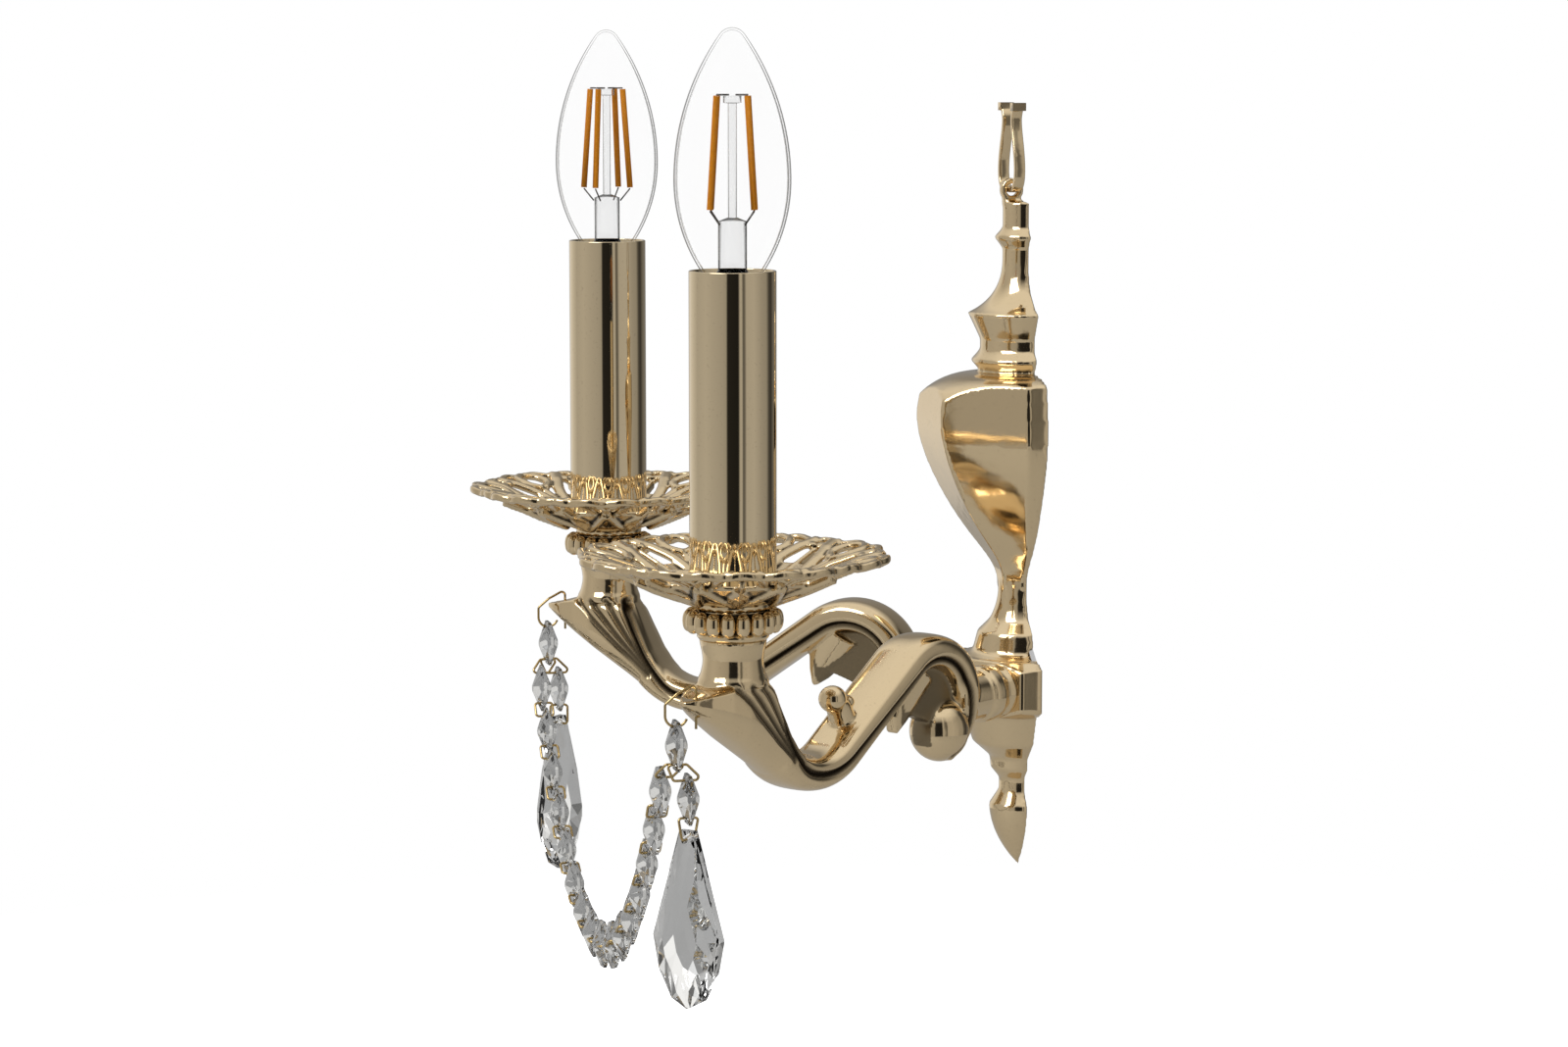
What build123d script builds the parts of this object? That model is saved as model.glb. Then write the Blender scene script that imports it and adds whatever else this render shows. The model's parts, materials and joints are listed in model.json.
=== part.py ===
from build123d import *
import math
import os

# Two-arm wall light in cast brass. Millimetres, +Z up, the wall is the plane Y = 0, the front is -Y,
# and Z = 0 is the centre height of the block that carries the two arms.

# Arm block and wall plate
block_half_width = 25.0
block_side = 7.5
block_height = 18.6
facet_width = 20.0
block_wall = 4.0
block_roof = 2.2
arm_angle = 35.5
vase_half_width = 29.0
vase_depth = 31.7
vase_top_z = 98.0
vase_foot_z = 32.0
vase_side_share = 0.21
neck_half_width = 7.4
shell_wall = 3.4
finial_foot_radius = 13.8
finial_bead_radius = 16.8
finial_flange_radius = 17.8
finial_stem_radius = 6.6
finial_ring_radius = 9.3
bell_radius = 15.6
block_collar_radius = 19.0
lower_cone_radius = 15.5
lower_stem_radius = 6.6
lower_tip_radius = 9.8
finial_top_z = 159.0
finial_tip_z = -62.0
eye_radius = 3.8
eye_hole_radius = 2.1
eye_thickness = 3.4
eye_y = -4.0
cover_thickness = 1.6
cover_margin = 2.0
cover_bottom_z = -18.5
cover_gap = 0.15
channel_width = 9.2
channel_depth = 5.2

# Fittings of the wall plate
cover_screw_radius = 1.5
cover_screw_head_radius = 2.9
cover_screw_length = 9.0
cover_screw_z = (-14.0, 91.0)
screw_pillar_radius = 3.4
grommet_z = 62.0
grommet_hole_radius = 5.0
grommet_bore_radius = 3.0
grommet_flange_radius = 6.5
grommet_flange_thickness = 3.0
terminal_size = (27.0, 9.0, 11.0)
terminal_bottom_z = 74.0
terminal_pitch = 8.0
terminal_way_depth = 2.6
terminal_screw_radius = 1.5
terminal_screw_length = 3.5
earth_screw_radius = 1.9
earth_head_radius = 3.2
earth_screw_length = 5.0
earth_head_height = 2.4
earth_boss_radius = 4.2
earth_boss_y = -20.0
earth_z = 78.0
screw_slot_width = 0.6
screw_slot_depth = 0.5
screw_head_gap = 0.1
thread_clearance = 0.05
end_gap = 0.5

# Hanging link
link_height = 27.0
link_strip_width = 3.6
link_strip_thickness = 1.6
link_bulge = 8.6
link_throat = 4.6
link_end_spread = 6.6
link_head_size = (2.8, 4.6, 2.6)

# Arm, in its own upright plane: r runs from the candle axis towards the wall
arm_reach = 131.0
band_width = 19.0
band_thickness = 10.8
band_edge_radius = 2.2
bowl_centre_r = 34.0
bowl_centre_z = 9.5
bowl_radius = 22.5
scroll_from_block = 40.5
scroll_radius = 18.25
scroll_web_width = 8.0
volute_radius = 10.3
volute_offset_r = 10.5
volute_offset_z = -9.0
root_radius = 8.0
root_ring_radius = 9.2
root_ring_width = 5.0
bud_radius = 4.3
bud_r = 47.0
bud_z = 8.0
bud_stem_radius = 2.6
bud_stem_length = 6.5
tongue_width = 12.0
tongue_r = 76.0
tongue_z = -7.5
leaf_reach = 23.1
leaf_tip_z = 14.9
leaf_tip_thickness = 1.8
leaf_tip_half_width = 0.9
leaf_half_width = 10.8
leaf_over_band = 0.4
shoulder_r = 11.5
neck_base_z = 20.4
neck_height = 12.3
neck_radius = 10.2
neck_waist_radius = 9.0
neck_foot_flare = 0.8
neck_sunk = 1.0
groove_radius = 1.5
groove_outside = 0.35
arm_nipple_radius = 4.0
arm_nipple_bore = 2.4
arm_nut_flats = 12.0
arm_nut_thickness = 3.5
arm_nipple_past_nut = 1.5
wire_bore_radius = 2.2
bore_turn = 5.0
bore_leaves = -128.0
bore_bend = 8.0
wire_radius = 1.2

# Candle stack
nipple_radius = 5.0
nipple_bore_radius = 3.2
nipple_depth = 12.0
bore_gap = 0.2
pan_nut_flats = 14.0
pan_nut_thickness = 4.0
collar_height = 12.3
collar_radius = 10.7
barrel_ring_radius = 13.1
barrel_radius = 2.45
barrel_end_radius = 1.3
barrel_height = 7.0
barrel_count = 18
pan_radius = 48.2
pan_rise = 14.4
pan_thickness = 2.2
pan_wall = 1.8
pan_lobes = 8
pan_lobe_radius = 8.5
pan_hole_length = 12.0
pan_hole_width = 6.0
pan_inner_hole_r = 26.0
pan_outer_hole_r = 35.7
sleeve_radius = 13.1
sleeve_wall = 0.8
sleeve_length = 96.0
holder_gap = 0.4
holder_top_below_sleeve = 5.7
nipple_above_nut = 7.0
shell_depth = 21.5
shell_radius = 8.1
shell_thickness = 0.8
contact_radius = 2.6
contact_height = 2.6

# Bulb
bulb_radius = 17.5
bulb_tip_above_sleeve = 71.7
bulb_widest_above_sleeve = 26.8
bulb_lower_arc = 49.4
bulb_upper_arc = 74.0
glass_wall = 0.7
glass_floor_radius = 4.6
cap_radius = 6.9
cap_bore_radius = 5.6
cap_length = 20.8
cap_thread_pitch = 2.82
cap_thread_depth = 0.5
cap_above_holder = 2.3
cap_contact_radius = 2.4
contact_gap = 0.3
stem_flange_radius = 5.6
stem_radius = 4.3
stem_press_above_cap = 18.0
stem_tube_radius = 1.3
stem_top_above_cap = 55.0
stem_disc_radius = 2.7
filament_radius = 1.0
filament_foot_above_cap = 21.5
filament_top_spread = 5.6
filament_foot_spread = 8.0
filament_turn = -49.7
filament_half_angle = 35.0
filament_wire_radius = 0.25

# Crystals
hook_wire_radius = 0.4
hook_wire_gap = 0.3
hook_ring_radius = 3.4
hook_ring_below_tip = 3.3
hook_ring_before_tip = 1.0
hook_hole_from_tip = 6.2
hook_hole_gap = 0.5
hook_tail_end = 7.3
bead_flats = 15.0
bead_thickness = 6.4
bead_table = 5.4
bead_girdle = 1.8
bead_hole_from_centre = 5.7
bead_hole_radius = 1.1
pin_wire_radius = 0.4
pin_length = 5.0
drop_pin_length = 6.4
pin_half_width = 3.05
to_strand_half_width = 4.5
pin_corner = 1.0
pin_side_step = 0.6
strand_step = 3.6
swag_bead_count = 16
drop_length = 54.5
drop_half_width = 12.0
drop_thickness = 11.0
drop_girdle = 2.4
drop_table_share = 0.5
drop_top_half_width = 2.5
drop_hole_below_top = 2.6
drop_pin_half_width = 3.6
drop_turn = 45.0

far = 400.0


def unit(degrees):
    return math.cos(math.radians(degrees)), math.sin(math.radians(degrees))


def write(node, shape):
    export_step(shape, f"parts/{node}.step")


def write_pair(node, shape):
    write(node + "_right", shape)
    write(node + "_left", mirror(shape, about=Plane.YZ))


def upright_face(*edges):
    return Plane.XZ * make_face(Curve() + list(edges))


def turned(*edges):
    return revolve(upright_face(*edges), Axis.Z)


def tube(outer, inner, low, high):
    solid = Pos(0, 0, (low + high) / 2) * Cylinder(outer, high - low)
    return solid - Pos(0, 0, (low + high) / 2) * Cylinder(inner, high - low)


def rod(radius, start, end):
    line = Line(start, end)
    return sweep((line ^ 0) * Circle(radius), path=line)


def hex_nut(flats, thickness, bolt_radius):
    body = extrude(RegularPolygon(flats / 2, 6, major_radius=False), thickness)
    return body - Pos(0, 0, thickness / 2) * Cylinder(bolt_radius + thread_clearance, thickness)


# Places that follow from the driving dimensions
cos_arm, sin_arm = unit(arm_angle)
facet_x = block_half_width - facet_width / 2 * cos_arm
facet_y = -block_side - facet_width / 2 * sin_arm
candle_x = facet_x + arm_reach * sin_arm
candle_y = facet_y - arm_reach * cos_arm
candle_place = Pos(candle_x, candle_y, 0) * Rot(0, 0, 90 + arm_angle)
scroll_r = arm_reach - scroll_from_block
neck_top_z = neck_base_z + neck_height
pan_foot_z = neck_top_z + collar_height
pan_floor_z = pan_foot_z + pan_thickness
pan_rim_z = pan_foot_z + pan_rise
sleeve_top_z = pan_floor_z + sleeve_length
sleeve_bore = sleeve_radius - sleeve_wall
holder_base_z = pan_floor_z + pan_nut_thickness
holder_top_z = sleeve_top_z - holder_top_below_sleeve
cap_top_z = holder_top_z + cap_above_holder
cap_foot_z = cap_top_z - cap_length
contact_seat_z = holder_top_z - shell_depth - contact_height
nipple_top_z = holder_base_z + nipple_above_nut
eye_z = finial_top_z + eye_radius
front_half = Pos(0, -far / 2, 0) * Box(2 * far, far, 2 * far)


# Wall plate
def half_hexagon(z, half_width, depth):
    side = vase_side_share * depth
    points = [
        (half_width, 0, z),
        (half_width, -side, z),
        (half_width / 2, -depth, z),
        (-half_width / 2, -depth, z),
        (-half_width, -side, z),
        (-half_width, 0, z),
    ]
    return make_face(Polyline(*points, close=True))


# Each entry is the height as a share of the vase, then its half width and depth as shares
vase_steps = (
    (0.0, 0.26, 0.22),
    (0.14, 0.40, 0.30),
    (0.31, 0.66, 0.55),
    (0.49, 0.84, 0.77),
    (0.67, 0.97, 0.93),
    (0.82, 1.0, 1.0),
    (0.96, 0.97, 0.98),
    (1.11, 0.90, 0.90),
)


def vase_heights():
    span = vase_top_z - vase_foot_z
    return [(vase_foot_z + share * span, w * vase_half_width, d * vase_depth) for share, w, d in vase_steps]


def vase(inset, steps):
    return loft([half_hexagon(z, w - inset, d - inset) for z, w, d in steps])


def vase_shoulder():
    low = vase_foot_z - 1
    edge = vase_depth * 1.2
    rise = vase_top_z + 5
    return turned(
        Line((0, low), (edge, low)),
        Line((edge, low), (edge, vase_top_z - 8)),
        Spline((edge, vase_top_z - 8), (0.93 * vase_depth, vase_top_z + 1), (12, rise)),
        Line((12, rise), (0, rise)),
        Line((0, rise), (0, low)),
    )


def turned_top():
    foot = vase_top_z + 2
    top = finial_top_z
    flange_z = foot + 22.5
    flange = Polyline(
        (0, foot),
        (finial_foot_radius, foot),
        (finial_foot_radius, foot + 3.5),
        (finial_bead_radius, foot + 7),
        (finial_foot_radius, foot + 10.5),
        (finial_foot_radius, foot + 14),
        (finial_flange_radius, flange_z),
    )
    flare = Spline(
        (finial_flange_radius, flange_z),
        (finial_stem_radius + 2.8, foot + 29.5),
        (finial_stem_radius, foot + 40),
    )
    ring = Polyline(
        (finial_stem_radius, foot + 40),
        (finial_stem_radius, top - 15.3),
        (finial_ring_radius, top - 11.7),
        (finial_stem_radius, top - 8.5),
        (finial_stem_radius, top),
        (0, top),
    )
    return turned(flange, flare, ring, Line((0, top), (0, foot)))


def turned_foot():
    high = vase_foot_z + 2
    half = block_height / 2
    flare = Spline((neck_half_width, high), (neck_half_width, high - 5), (neck_half_width + 2.6, high - 13))
    bell = Polyline(
        (neck_half_width + 2.6, high - 13),
        (bell_radius - 1.6, high - 17),
        (bell_radius, half + 1.5),
        (block_collar_radius, half),
        (block_collar_radius, -half),
        (lower_cone_radius, -half - 10.5),
        (lower_tip_radius, -half - 15.5),
        (lower_tip_radius - 0.4, -half - 19.5),
        (lower_stem_radius, -half - 23),
        (lower_stem_radius, -half - 27),
        (lower_tip_radius, -half - 32),
    )
    tip = Spline(
        (lower_tip_radius, -half - 32),
        (0.86 * lower_tip_radius, -half - 39.5),
        (0.51 * lower_tip_radius, -half - 46.5),
        (0, finial_tip_z),
    )
    axis = Line((0, finial_tip_z), (0, high))
    return turned(Line((0, high), (neck_half_width, high)), flare, bell, tip, axis)


def block_outline(inset):
    corner_x = block_half_width - inset
    front_x = facet_x - facet_width / 2 * cos_arm
    front_y = facet_y - facet_width / 2 * sin_arm
    shift = inset / cos_arm
    side_y = -block_side + shift - inset * math.tan(math.radians(arm_angle))
    nose_y = front_y + inset
    nose_x = front_x - (shift - inset) / math.tan(math.radians(arm_angle))
    points = [
        (corner_x, 0), (corner_x, side_y), (nose_x, nose_y),
        (-nose_x, nose_y), (-corner_x, side_y), (-corner_x, 0),
    ]
    return make_face(Polyline(*points, close=True))


def block():
    half = block_height / 2
    prism = Pos(0, 0, -half) * extrude(block_outline(0), block_height)
    corner = math.hypot(block_half_width, block_side)
    crown = turned(
        Line((0, half), (0.78 * corner, half)),
        Line((0.78 * corner, half), (1.04 * corner, 0.66 * half)),
        Line((1.04 * corner, 0.66 * half), (1.04 * corner, -0.66 * half)),
        Line((1.04 * corner, -0.66 * half), (0.78 * corner, -half)),
        Line((0.78 * corner, -half), (0, -half)),
        Line((0, -half), (0, half)),
    )
    return prism & crown


def cover_outline(inset):
    margin = cover_margin + inset
    half = block_height / 2
    right = [
        (lower_cone_radius - 2.5 - margin, cover_bottom_z + inset),
        (block_collar_radius - margin, -half),
        (block_half_width - margin, -0.6 * half),
        (block_half_width - margin, 0.6 * half),
        (bell_radius - margin, half + 4),
        (neck_half_width + 1.6 - margin, vase_foot_z - 8),
    ]
    right += [(w - margin, z) for z, w, d in vase_heights()[:6]]
    right.append((vase_half_width - 1.5 * margin, vase_top_z - 3 - inset))
    left = [(-x, z) for x, z in reversed(right)]
    return Plane.XZ * make_face(Polyline(*right, *left, close=True))


def pillar(x, z, radius, low_y, high_y):
    return Pos(x, (low_y + high_y) / 2, z) * Rot(90, 0, 0) * Cylinder(radius, high_y - low_y)


def arm_hole(radius, start, end):
    return candle_place * rod(radius, (start, 0, 0), (end, 0, 0))


def backplate():
    half = block_height / 2
    steps = vase_heights()
    body = turned_top() + turned_foot() + block()
    body += vase(0, steps) & vase_shoulder()
    body = body & front_half
    eye_place = Pos(0, eye_y, eye_z) * Rot(0, 90, 0)
    stem_place = Pos(0, eye_y, finial_top_z + eye_radius / 2 - end_gap)
    eye = eye_place * Cylinder(eye_radius, eye_thickness)
    eye += stem_place * Box(eye_thickness, eye_radius * 1.5, eye_radius + 2 * end_gap)
    eye -= eye_place * Cylinder(eye_hole_radius, 4 * eye_thickness)
    body += eye
    hollow = vase(shell_wall, steps[1:7])
    hollow += Pos(0, 0, block_roof - half) * extrude(block_outline(block_wall), block_height - 2 * block_roof)
    channel_top = vase_foot_z + 20
    hollow += Pos(0, -channel_depth / 2, channel_top / 2) * Box(channel_width, channel_depth, channel_top)
    hollow -= pillar(0, cover_screw_z[1], screw_pillar_radius, -vase_depth, 0)
    hollow -= pillar(0, earth_z, earth_boss_radius, -vase_depth, earth_boss_y)
    body -= hollow & front_half
    body -= extrude(cover_outline(-cover_gap), cover_thickness, dir=(0, -1, 0))
    for z in cover_screw_z:
        body -= pillar(0, z, cover_screw_radius + thread_clearance, -cover_screw_length, 0)
    body -= pillar(0, earth_z, earth_screw_radius + thread_clearance, earth_boss_y - earth_screw_length, 0)
    drill = arm_hole(arm_nipple_radius + thread_clearance, arm_reach - 1, arm_reach + block_wall + 1)
    return body - drill - mirror(drill, about=Plane.YZ)


def rear_cover():
    plate = extrude(cover_outline(0), cover_thickness, dir=(0, -1, 0))
    plate -= pillar(0, grommet_z, grommet_hole_radius, -cover_thickness, 0)
    for z in cover_screw_z:
        plate -= Pos(0, 0, z) * screw_head(screw_head_gap)
        plate -= pillar(0, z, cover_screw_radius + bore_gap, -cover_thickness, 0)
    return plate


def screw_head(gap):
    depth = cover_thickness
    cone = Cone(cover_screw_radius + gap, cover_screw_head_radius + gap, depth)
    return Pos(0, -depth / 2, 0) * Rot(-90, 0, 0) * cone


def cover_screws():
    screws = []
    for z in cover_screw_z:
        shank = pillar(0, z, cover_screw_radius, -cover_screw_length + end_gap, 0)
        screw = shank + Pos(0, 0, z) * screw_head(0)
        slot = Pos(0, -screw_slot_depth / 2, z)
        screws.append(screw - slot * Box(2 * cover_screw_head_radius, screw_slot_depth, screw_slot_width))
    return Compound(children=screws)


def cable_grommet():
    inside = -cover_thickness - grommet_flange_thickness
    neck = pillar(0, grommet_z, grommet_hole_radius, -cover_thickness, 0)
    flange = pillar(0, grommet_z, grommet_flange_radius, inside, -cover_thickness)
    bore = pillar(0, grommet_z, grommet_bore_radius, -far, far)
    return neck + flange - bore


def terminal_places():
    middle = terminal_bottom_z + terminal_size[2] / 2
    return [(i * terminal_pitch, middle + j * 0.25 * terminal_size[2]) for i in (-1, 0, 1) for j in (-1, 1)]


def terminal_block():
    width, depth, height = terminal_size
    front = -cover_thickness - depth
    screw_deep = terminal_screw_length + end_gap
    body = Pos(0, -cover_thickness - depth / 2, terminal_bottom_z + height / 2) * Box(width, depth, height)
    for x, z in terminal_places():
        body -= pillar(x, z, terminal_screw_radius + thread_clearance, front, front + screw_deep)
    for i in (-1, 0, 1):
        way = Pos(i * terminal_pitch, -cover_thickness - terminal_way_depth, terminal_bottom_z + height / 2)
        body -= way * Cylinder(wire_radius + 2 * thread_clearance, height)
    return body


def terminal_screws():
    front = -cover_thickness - terminal_size[1]
    screws = []
    for x, z in terminal_places():
        screw = pillar(x, z, terminal_screw_radius, front + end_gap, front + terminal_screw_length + end_gap)
        slot = Pos(x, front + end_gap + screw_slot_depth / 2, z)
        screw -= slot * Box(2 * terminal_screw_radius, screw_slot_depth, screw_slot_width)
        screws.append(screw)
    return Compound(children=screws)


def earth_screw():
    shank = pillar(0, earth_z, earth_screw_radius, earth_boss_y - earth_screw_length, earth_boss_y)
    head_y = earth_boss_y + earth_head_height
    head = pillar(0, earth_z, earth_head_radius, earth_boss_y, head_y)
    slot = Pos(0, head_y - screw_slot_depth / 2, earth_z)
    return shank + head - slot * Box(2 * earth_head_radius, screw_slot_depth, screw_slot_width)


def link_leg(side):
    reach = eye_thickness / 2 + 1
    points = [
        (side * reach, 0),
        (side * link_bulge, 0.2 * link_height),
        (side * link_throat, 0.85 * link_height),
        (side * link_end_spread, link_height),
    ]
    return Spline(*points, tangents=[(side, 0), (0.7 * side, 1)])


def hanging_link():
    reach = eye_thickness / 2 + 1
    bottom = Line((-reach, 0), (reach, 0))
    face = Plane(origin=(0, eye_y, eye_z), x_dir=(1, 0, 0), z_dir=(0, -1, 0))
    strip = RectangleRounded(link_strip_thickness, link_strip_width, 0.4)
    body = Pos(0, eye_y, eye_z) * Rot(0, 90, 0) * extrude(strip, reach, both=True)
    for side in (-1, 1):
        leg = face * link_leg(side)
        tangent = leg % 0
        start = Plane(origin=leg @ 0, x_dir=Vector(0, 1, 0).cross(tangent), z_dir=tangent)
        body += sweep(start * strip, path=leg)
        body += Pos(leg @ 1) * Box(*link_head_size)
    return body


# Arm, built at the candle axis with X towards the wall, then put in place
def bar_slope():
    rise = math.degrees(math.atan2(-bowl_centre_z, scroll_r - bowl_centre_r))
    gap = math.hypot(bowl_centre_z, scroll_r - bowl_centre_r)
    return rise + math.degrees(math.asin((bowl_radius + scroll_radius) / gap))


def on_circle(centre, radius, angle):
    c, s = unit(angle)
    return centre[0] + radius * c, centre[1] + radius * s


def s_edges(bowl_from, scroll_to, shift):
    slope = bar_slope()
    bowl = (bowl_centre_r, bowl_centre_z)
    scroll = (scroll_r, 0)
    bowl_r = bowl_radius - shift
    scroll_arc_r = scroll_radius + shift
    first = CenterArc(bowl, bowl_r, bowl_from, slope - 90 - bowl_from)
    bar = Line(on_circle(bowl, bowl_r, slope - 90), on_circle(scroll, scroll_arc_r, slope + 90))
    last = CenterArc(scroll, scroll_arc_r, slope + 90, scroll_to - slope - 90)
    return [first, bar, last]


def band():
    path = Plane.XZ * Wire(s_edges(-165, -50, 0))
    section = RectangleRounded(band_thickness, band_width, band_edge_radius)
    start = path ^ 0
    across = Vector(0, 1, 0).cross(path % 0)
    return sweep(Plane(origin=start.position, x_dir=across, z_dir=path % 0) * section, path=path)


def tangent_point(point, radius, side):
    dx = bowl_centre_r - point[0]
    dz = bowl_centre_z - point[1]
    gap = math.hypot(dx, dz)
    angle = math.degrees(math.atan2(dz, dx)) + side * math.degrees(math.asin(radius / gap))
    c, s = unit(angle)
    run = math.sqrt(gap * gap - radius * radius)
    return (point[0] + run * c, point[1] + run * s), angle


def leaf_wedge():
    tip = (-leaf_reach, leaf_tip_z)
    outer, slope = tangent_point(tip, bowl_radius + band_thickness / 2, -1)
    shoulder = (shoulder_r, neck_base_z)
    inner, _ = tangent_point(shoulder, bowl_radius - band_thickness / 2, -1)
    outline = make_face(Polyline(
        tip,
        outer,
        inner,
        shoulder,
        (-neck_radius, neck_base_z),
        (-leaf_reach, leaf_tip_z + leaf_tip_thickness),
        close=True,
    ))
    slab = Plane.XZ * extrude(outline, leaf_half_width, both=True)
    c, s = unit(slope)
    before = (tip[0] - leaf_half_width * c, 0, tip[1] - leaf_half_width * s)
    under = Plane(origin=before, x_dir=(0, 1, 0), z_dir=(c, 0, s))
    width = 2 * leaf_half_width
    round_under = Pos(0, leaf_half_width) * Circle(leaf_half_width)
    round_under += Pos(0, leaf_half_width + width) * Rectangle(width, 2 * width)
    trough = extrude(under * round_under, math.dist(tip, outer) + 2 * width)
    half = band_width / 2 + leaf_over_band
    end_r = inner[0] + band_thickness
    edge = Spline(
        (-leaf_reach, leaf_tip_half_width),
        (-0.6 * leaf_reach, 0.62 * leaf_half_width),
        (-0.1 * leaf_reach, leaf_half_width),
        (outer[0], half),
    )
    plan = make_face(Curve() + [
        edge,
        mirror(edge, about=Plane.XZ),
        Line((-leaf_reach, leaf_tip_half_width), (-leaf_reach, -leaf_tip_half_width)),
        Polyline((outer[0], half), (end_r, half), (end_r, -half), (outer[0], -half)),
    ])
    column = Pos(0, 0, -far / 2) * extrude(plan, far)
    return slab & trough & column


def neck():
    waist_z = neck_base_z + 0.38 * neck_height
    foot_z = neck_base_z - neck_sunk
    foot = (neck_radius + neck_foot_flare, foot_z)
    return turned(
        Line((0, foot_z), foot),
        Spline(foot, (neck_waist_radius, waist_z), (neck_radius, neck_top_z)),
        Line((neck_radius, neck_top_z), (0, neck_top_z)),
        Line((0, neck_top_z), (0, foot_z)),
    )


def bud():
    slope = bar_slope()
    c, s = unit(slope + 90)
    depth = bud_radius + bud_stem_length
    foot = (bud_r - depth * c, 0, bud_z - depth * s)
    return Pos(bud_r, 0, bud_z) * Sphere(bud_radius) + rod(bud_stem_radius, foot, (bud_r, 0, bud_z))


def tongue():
    slope = bar_slope()
    c, s = unit(slope)
    root = on_circle((scroll_r, 0), scroll_radius, slope + 90)
    high = (root[0] - 4 * c, root[1] - 4 * s)
    low = (root[0] - 20 * c, root[1] - 20 * s)
    left = Spline(low, (tongue_r - 5.5, tongue_z + 7), (tongue_r, tongue_z))
    right = Spline((tongue_r, tongue_z), (tongue_r + 4.5, tongue_z + 5.5), high)
    outline = make_face(Curve() + [left, right, Line(high, low)])
    return Plane.XZ * extrude(outline, tongue_width / 2, both=True)


def bore_path(top_z):
    lift = math.degrees(math.asin(bore_turn / (scroll_radius + bore_turn)))
    slope = bar_slope()
    bowl = (bowl_centre_r, bowl_centre_z)
    scroll = (scroll_r, 0)
    rise = CenterArc((wire_entry()[0], bore_turn), bore_turn, 270, lift - 90)
    over = CenterArc(scroll, scroll_radius, lift, slope + 90 - lift)
    bar = Line(on_circle(scroll, scroll_radius, slope + 90), on_circle(bowl, bowl_radius, slope - 90))
    under = CenterArc(bowl, bowl_radius, slope - 90, bore_leaves - slope + 90)
    start = on_circle(bowl, bowl_radius, bore_leaves)
    c, s = unit(bore_leaves - 90)
    corner_z = start[1] - start[0] / c * s
    back = bore_bend * math.tan(math.radians(abs(bore_leaves + 180)) / 2)
    end = (-back * c, corner_z - back * s)
    curve = TangentArc(end, (0, corner_z + back), tangent=(c, s))
    return [rise, over, bar, under, Line(start, end), curve, Line((0, corner_z + back), (0, top_z))]


def arm_casting():
    body = band() + leaf_wedge() + neck()
    web_radius = scroll_radius - band_thickness / 2 + 1
    web = Pos(scroll_r, 0, 0) * Rot(90, 0, 0) * Cylinder(web_radius, scroll_web_width)
    ball = Pos(scroll_r + volute_offset_r, 0, volute_offset_z) * Sphere(volute_radius)
    root = rod(root_radius, (scroll_r + scroll_radius, 0, 0), (arm_reach, 0, 0))
    ring_from = (scroll_r + scroll_radius + band_thickness / 2 + arm_reach - root_ring_width) / 2
    ring = rod(root_ring_radius, (ring_from, 0, 0), (ring_from + root_ring_width, 0, 0))
    body += web + ball + root + ring + bud() + tongue()
    for side in (-1, 1):
        path = Pos(0, side * (band_width / 2 + groove_outside), 0) * (Plane.XZ * Wire(s_edges(-140, -30, 0)))
        body -= sweep((path ^ 0) * Circle(groove_radius), path=path)
    path = Plane.XZ * Wire([Line((arm_reach + 1, 0), wire_entry())] + bore_path(neck_top_z + 1))
    body -= sweep((path ^ 0) * Circle(wire_bore_radius), path=path)
    drilled = nipple_depth + end_gap
    body -= rod(arm_nipple_radius + thread_clearance, (arm_reach - drilled, 0, 0), (arm_reach + 1, 0, 0))
    body -= Pos(0, 0, neck_top_z) * Cylinder(nipple_radius + thread_clearance, 2 * drilled)
    hole = Cylinder(hook_wire_radius + hook_hole_gap, far / 10)
    body -= Pos(hook_hole_from_tip - leaf_reach, 0, leaf_tip_z) * hole
    return body


def wire_entry():
    across = math.sqrt((scroll_radius + bore_turn) ** 2 - bore_turn ** 2)
    return (scroll_r + across, 0)


def arm_wire():
    way_y = -cover_thickness - terminal_way_depth
    low_x = channel_width / 2 - 2.5 * wire_radius
    low_y = -cover_thickness - 1.5 * wire_radius
    turn_r = arm_reach + block_wall + arm_nut_thickness + 4
    along = turn_r - arm_reach
    bend = (facet_x - along * sin_arm, facet_y + along * cos_arm, 0)
    inside = FilletPolyline(
        (terminal_pitch, way_y, terminal_bottom_z + 4),
        (terminal_pitch, way_y, terminal_bottom_z - 3),
        (terminal_pitch + 2, way_y - 4, grommet_z + 2),
        (terminal_pitch - 2, way_y - 4, grommet_z - 8),
        (low_x, low_y, vase_foot_z + 14),
        (low_x, low_y, block_height / 2 - block_roof - 3),
        bend,
        (facet_x, facet_y, 0),
        radius=2.5,
    )
    edges = [Line((arm_reach, 0), wire_entry())] + bore_path(contact_seat_z)
    path = Wire(list(inside.edges()) + [candle_place * (Plane.XZ * edge) for edge in edges])
    return sweep((path ^ 0) * Circle(wire_radius), path=path)


def arm_nipple():
    start = (arm_reach - nipple_depth, 0, 0)
    end = (arm_reach + block_wall + arm_nut_thickness + arm_nipple_past_nut, 0, 0)
    return rod(arm_nipple_radius, start, end) - rod(arm_nipple_bore, start, end)


def arm_nut():
    nut = hex_nut(arm_nut_flats, arm_nut_thickness, arm_nipple_radius)
    return Pos(arm_reach + block_wall, 0, 0) * Rot(0, 90, 0) * Rot(0, 0, 30) * nut


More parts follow.
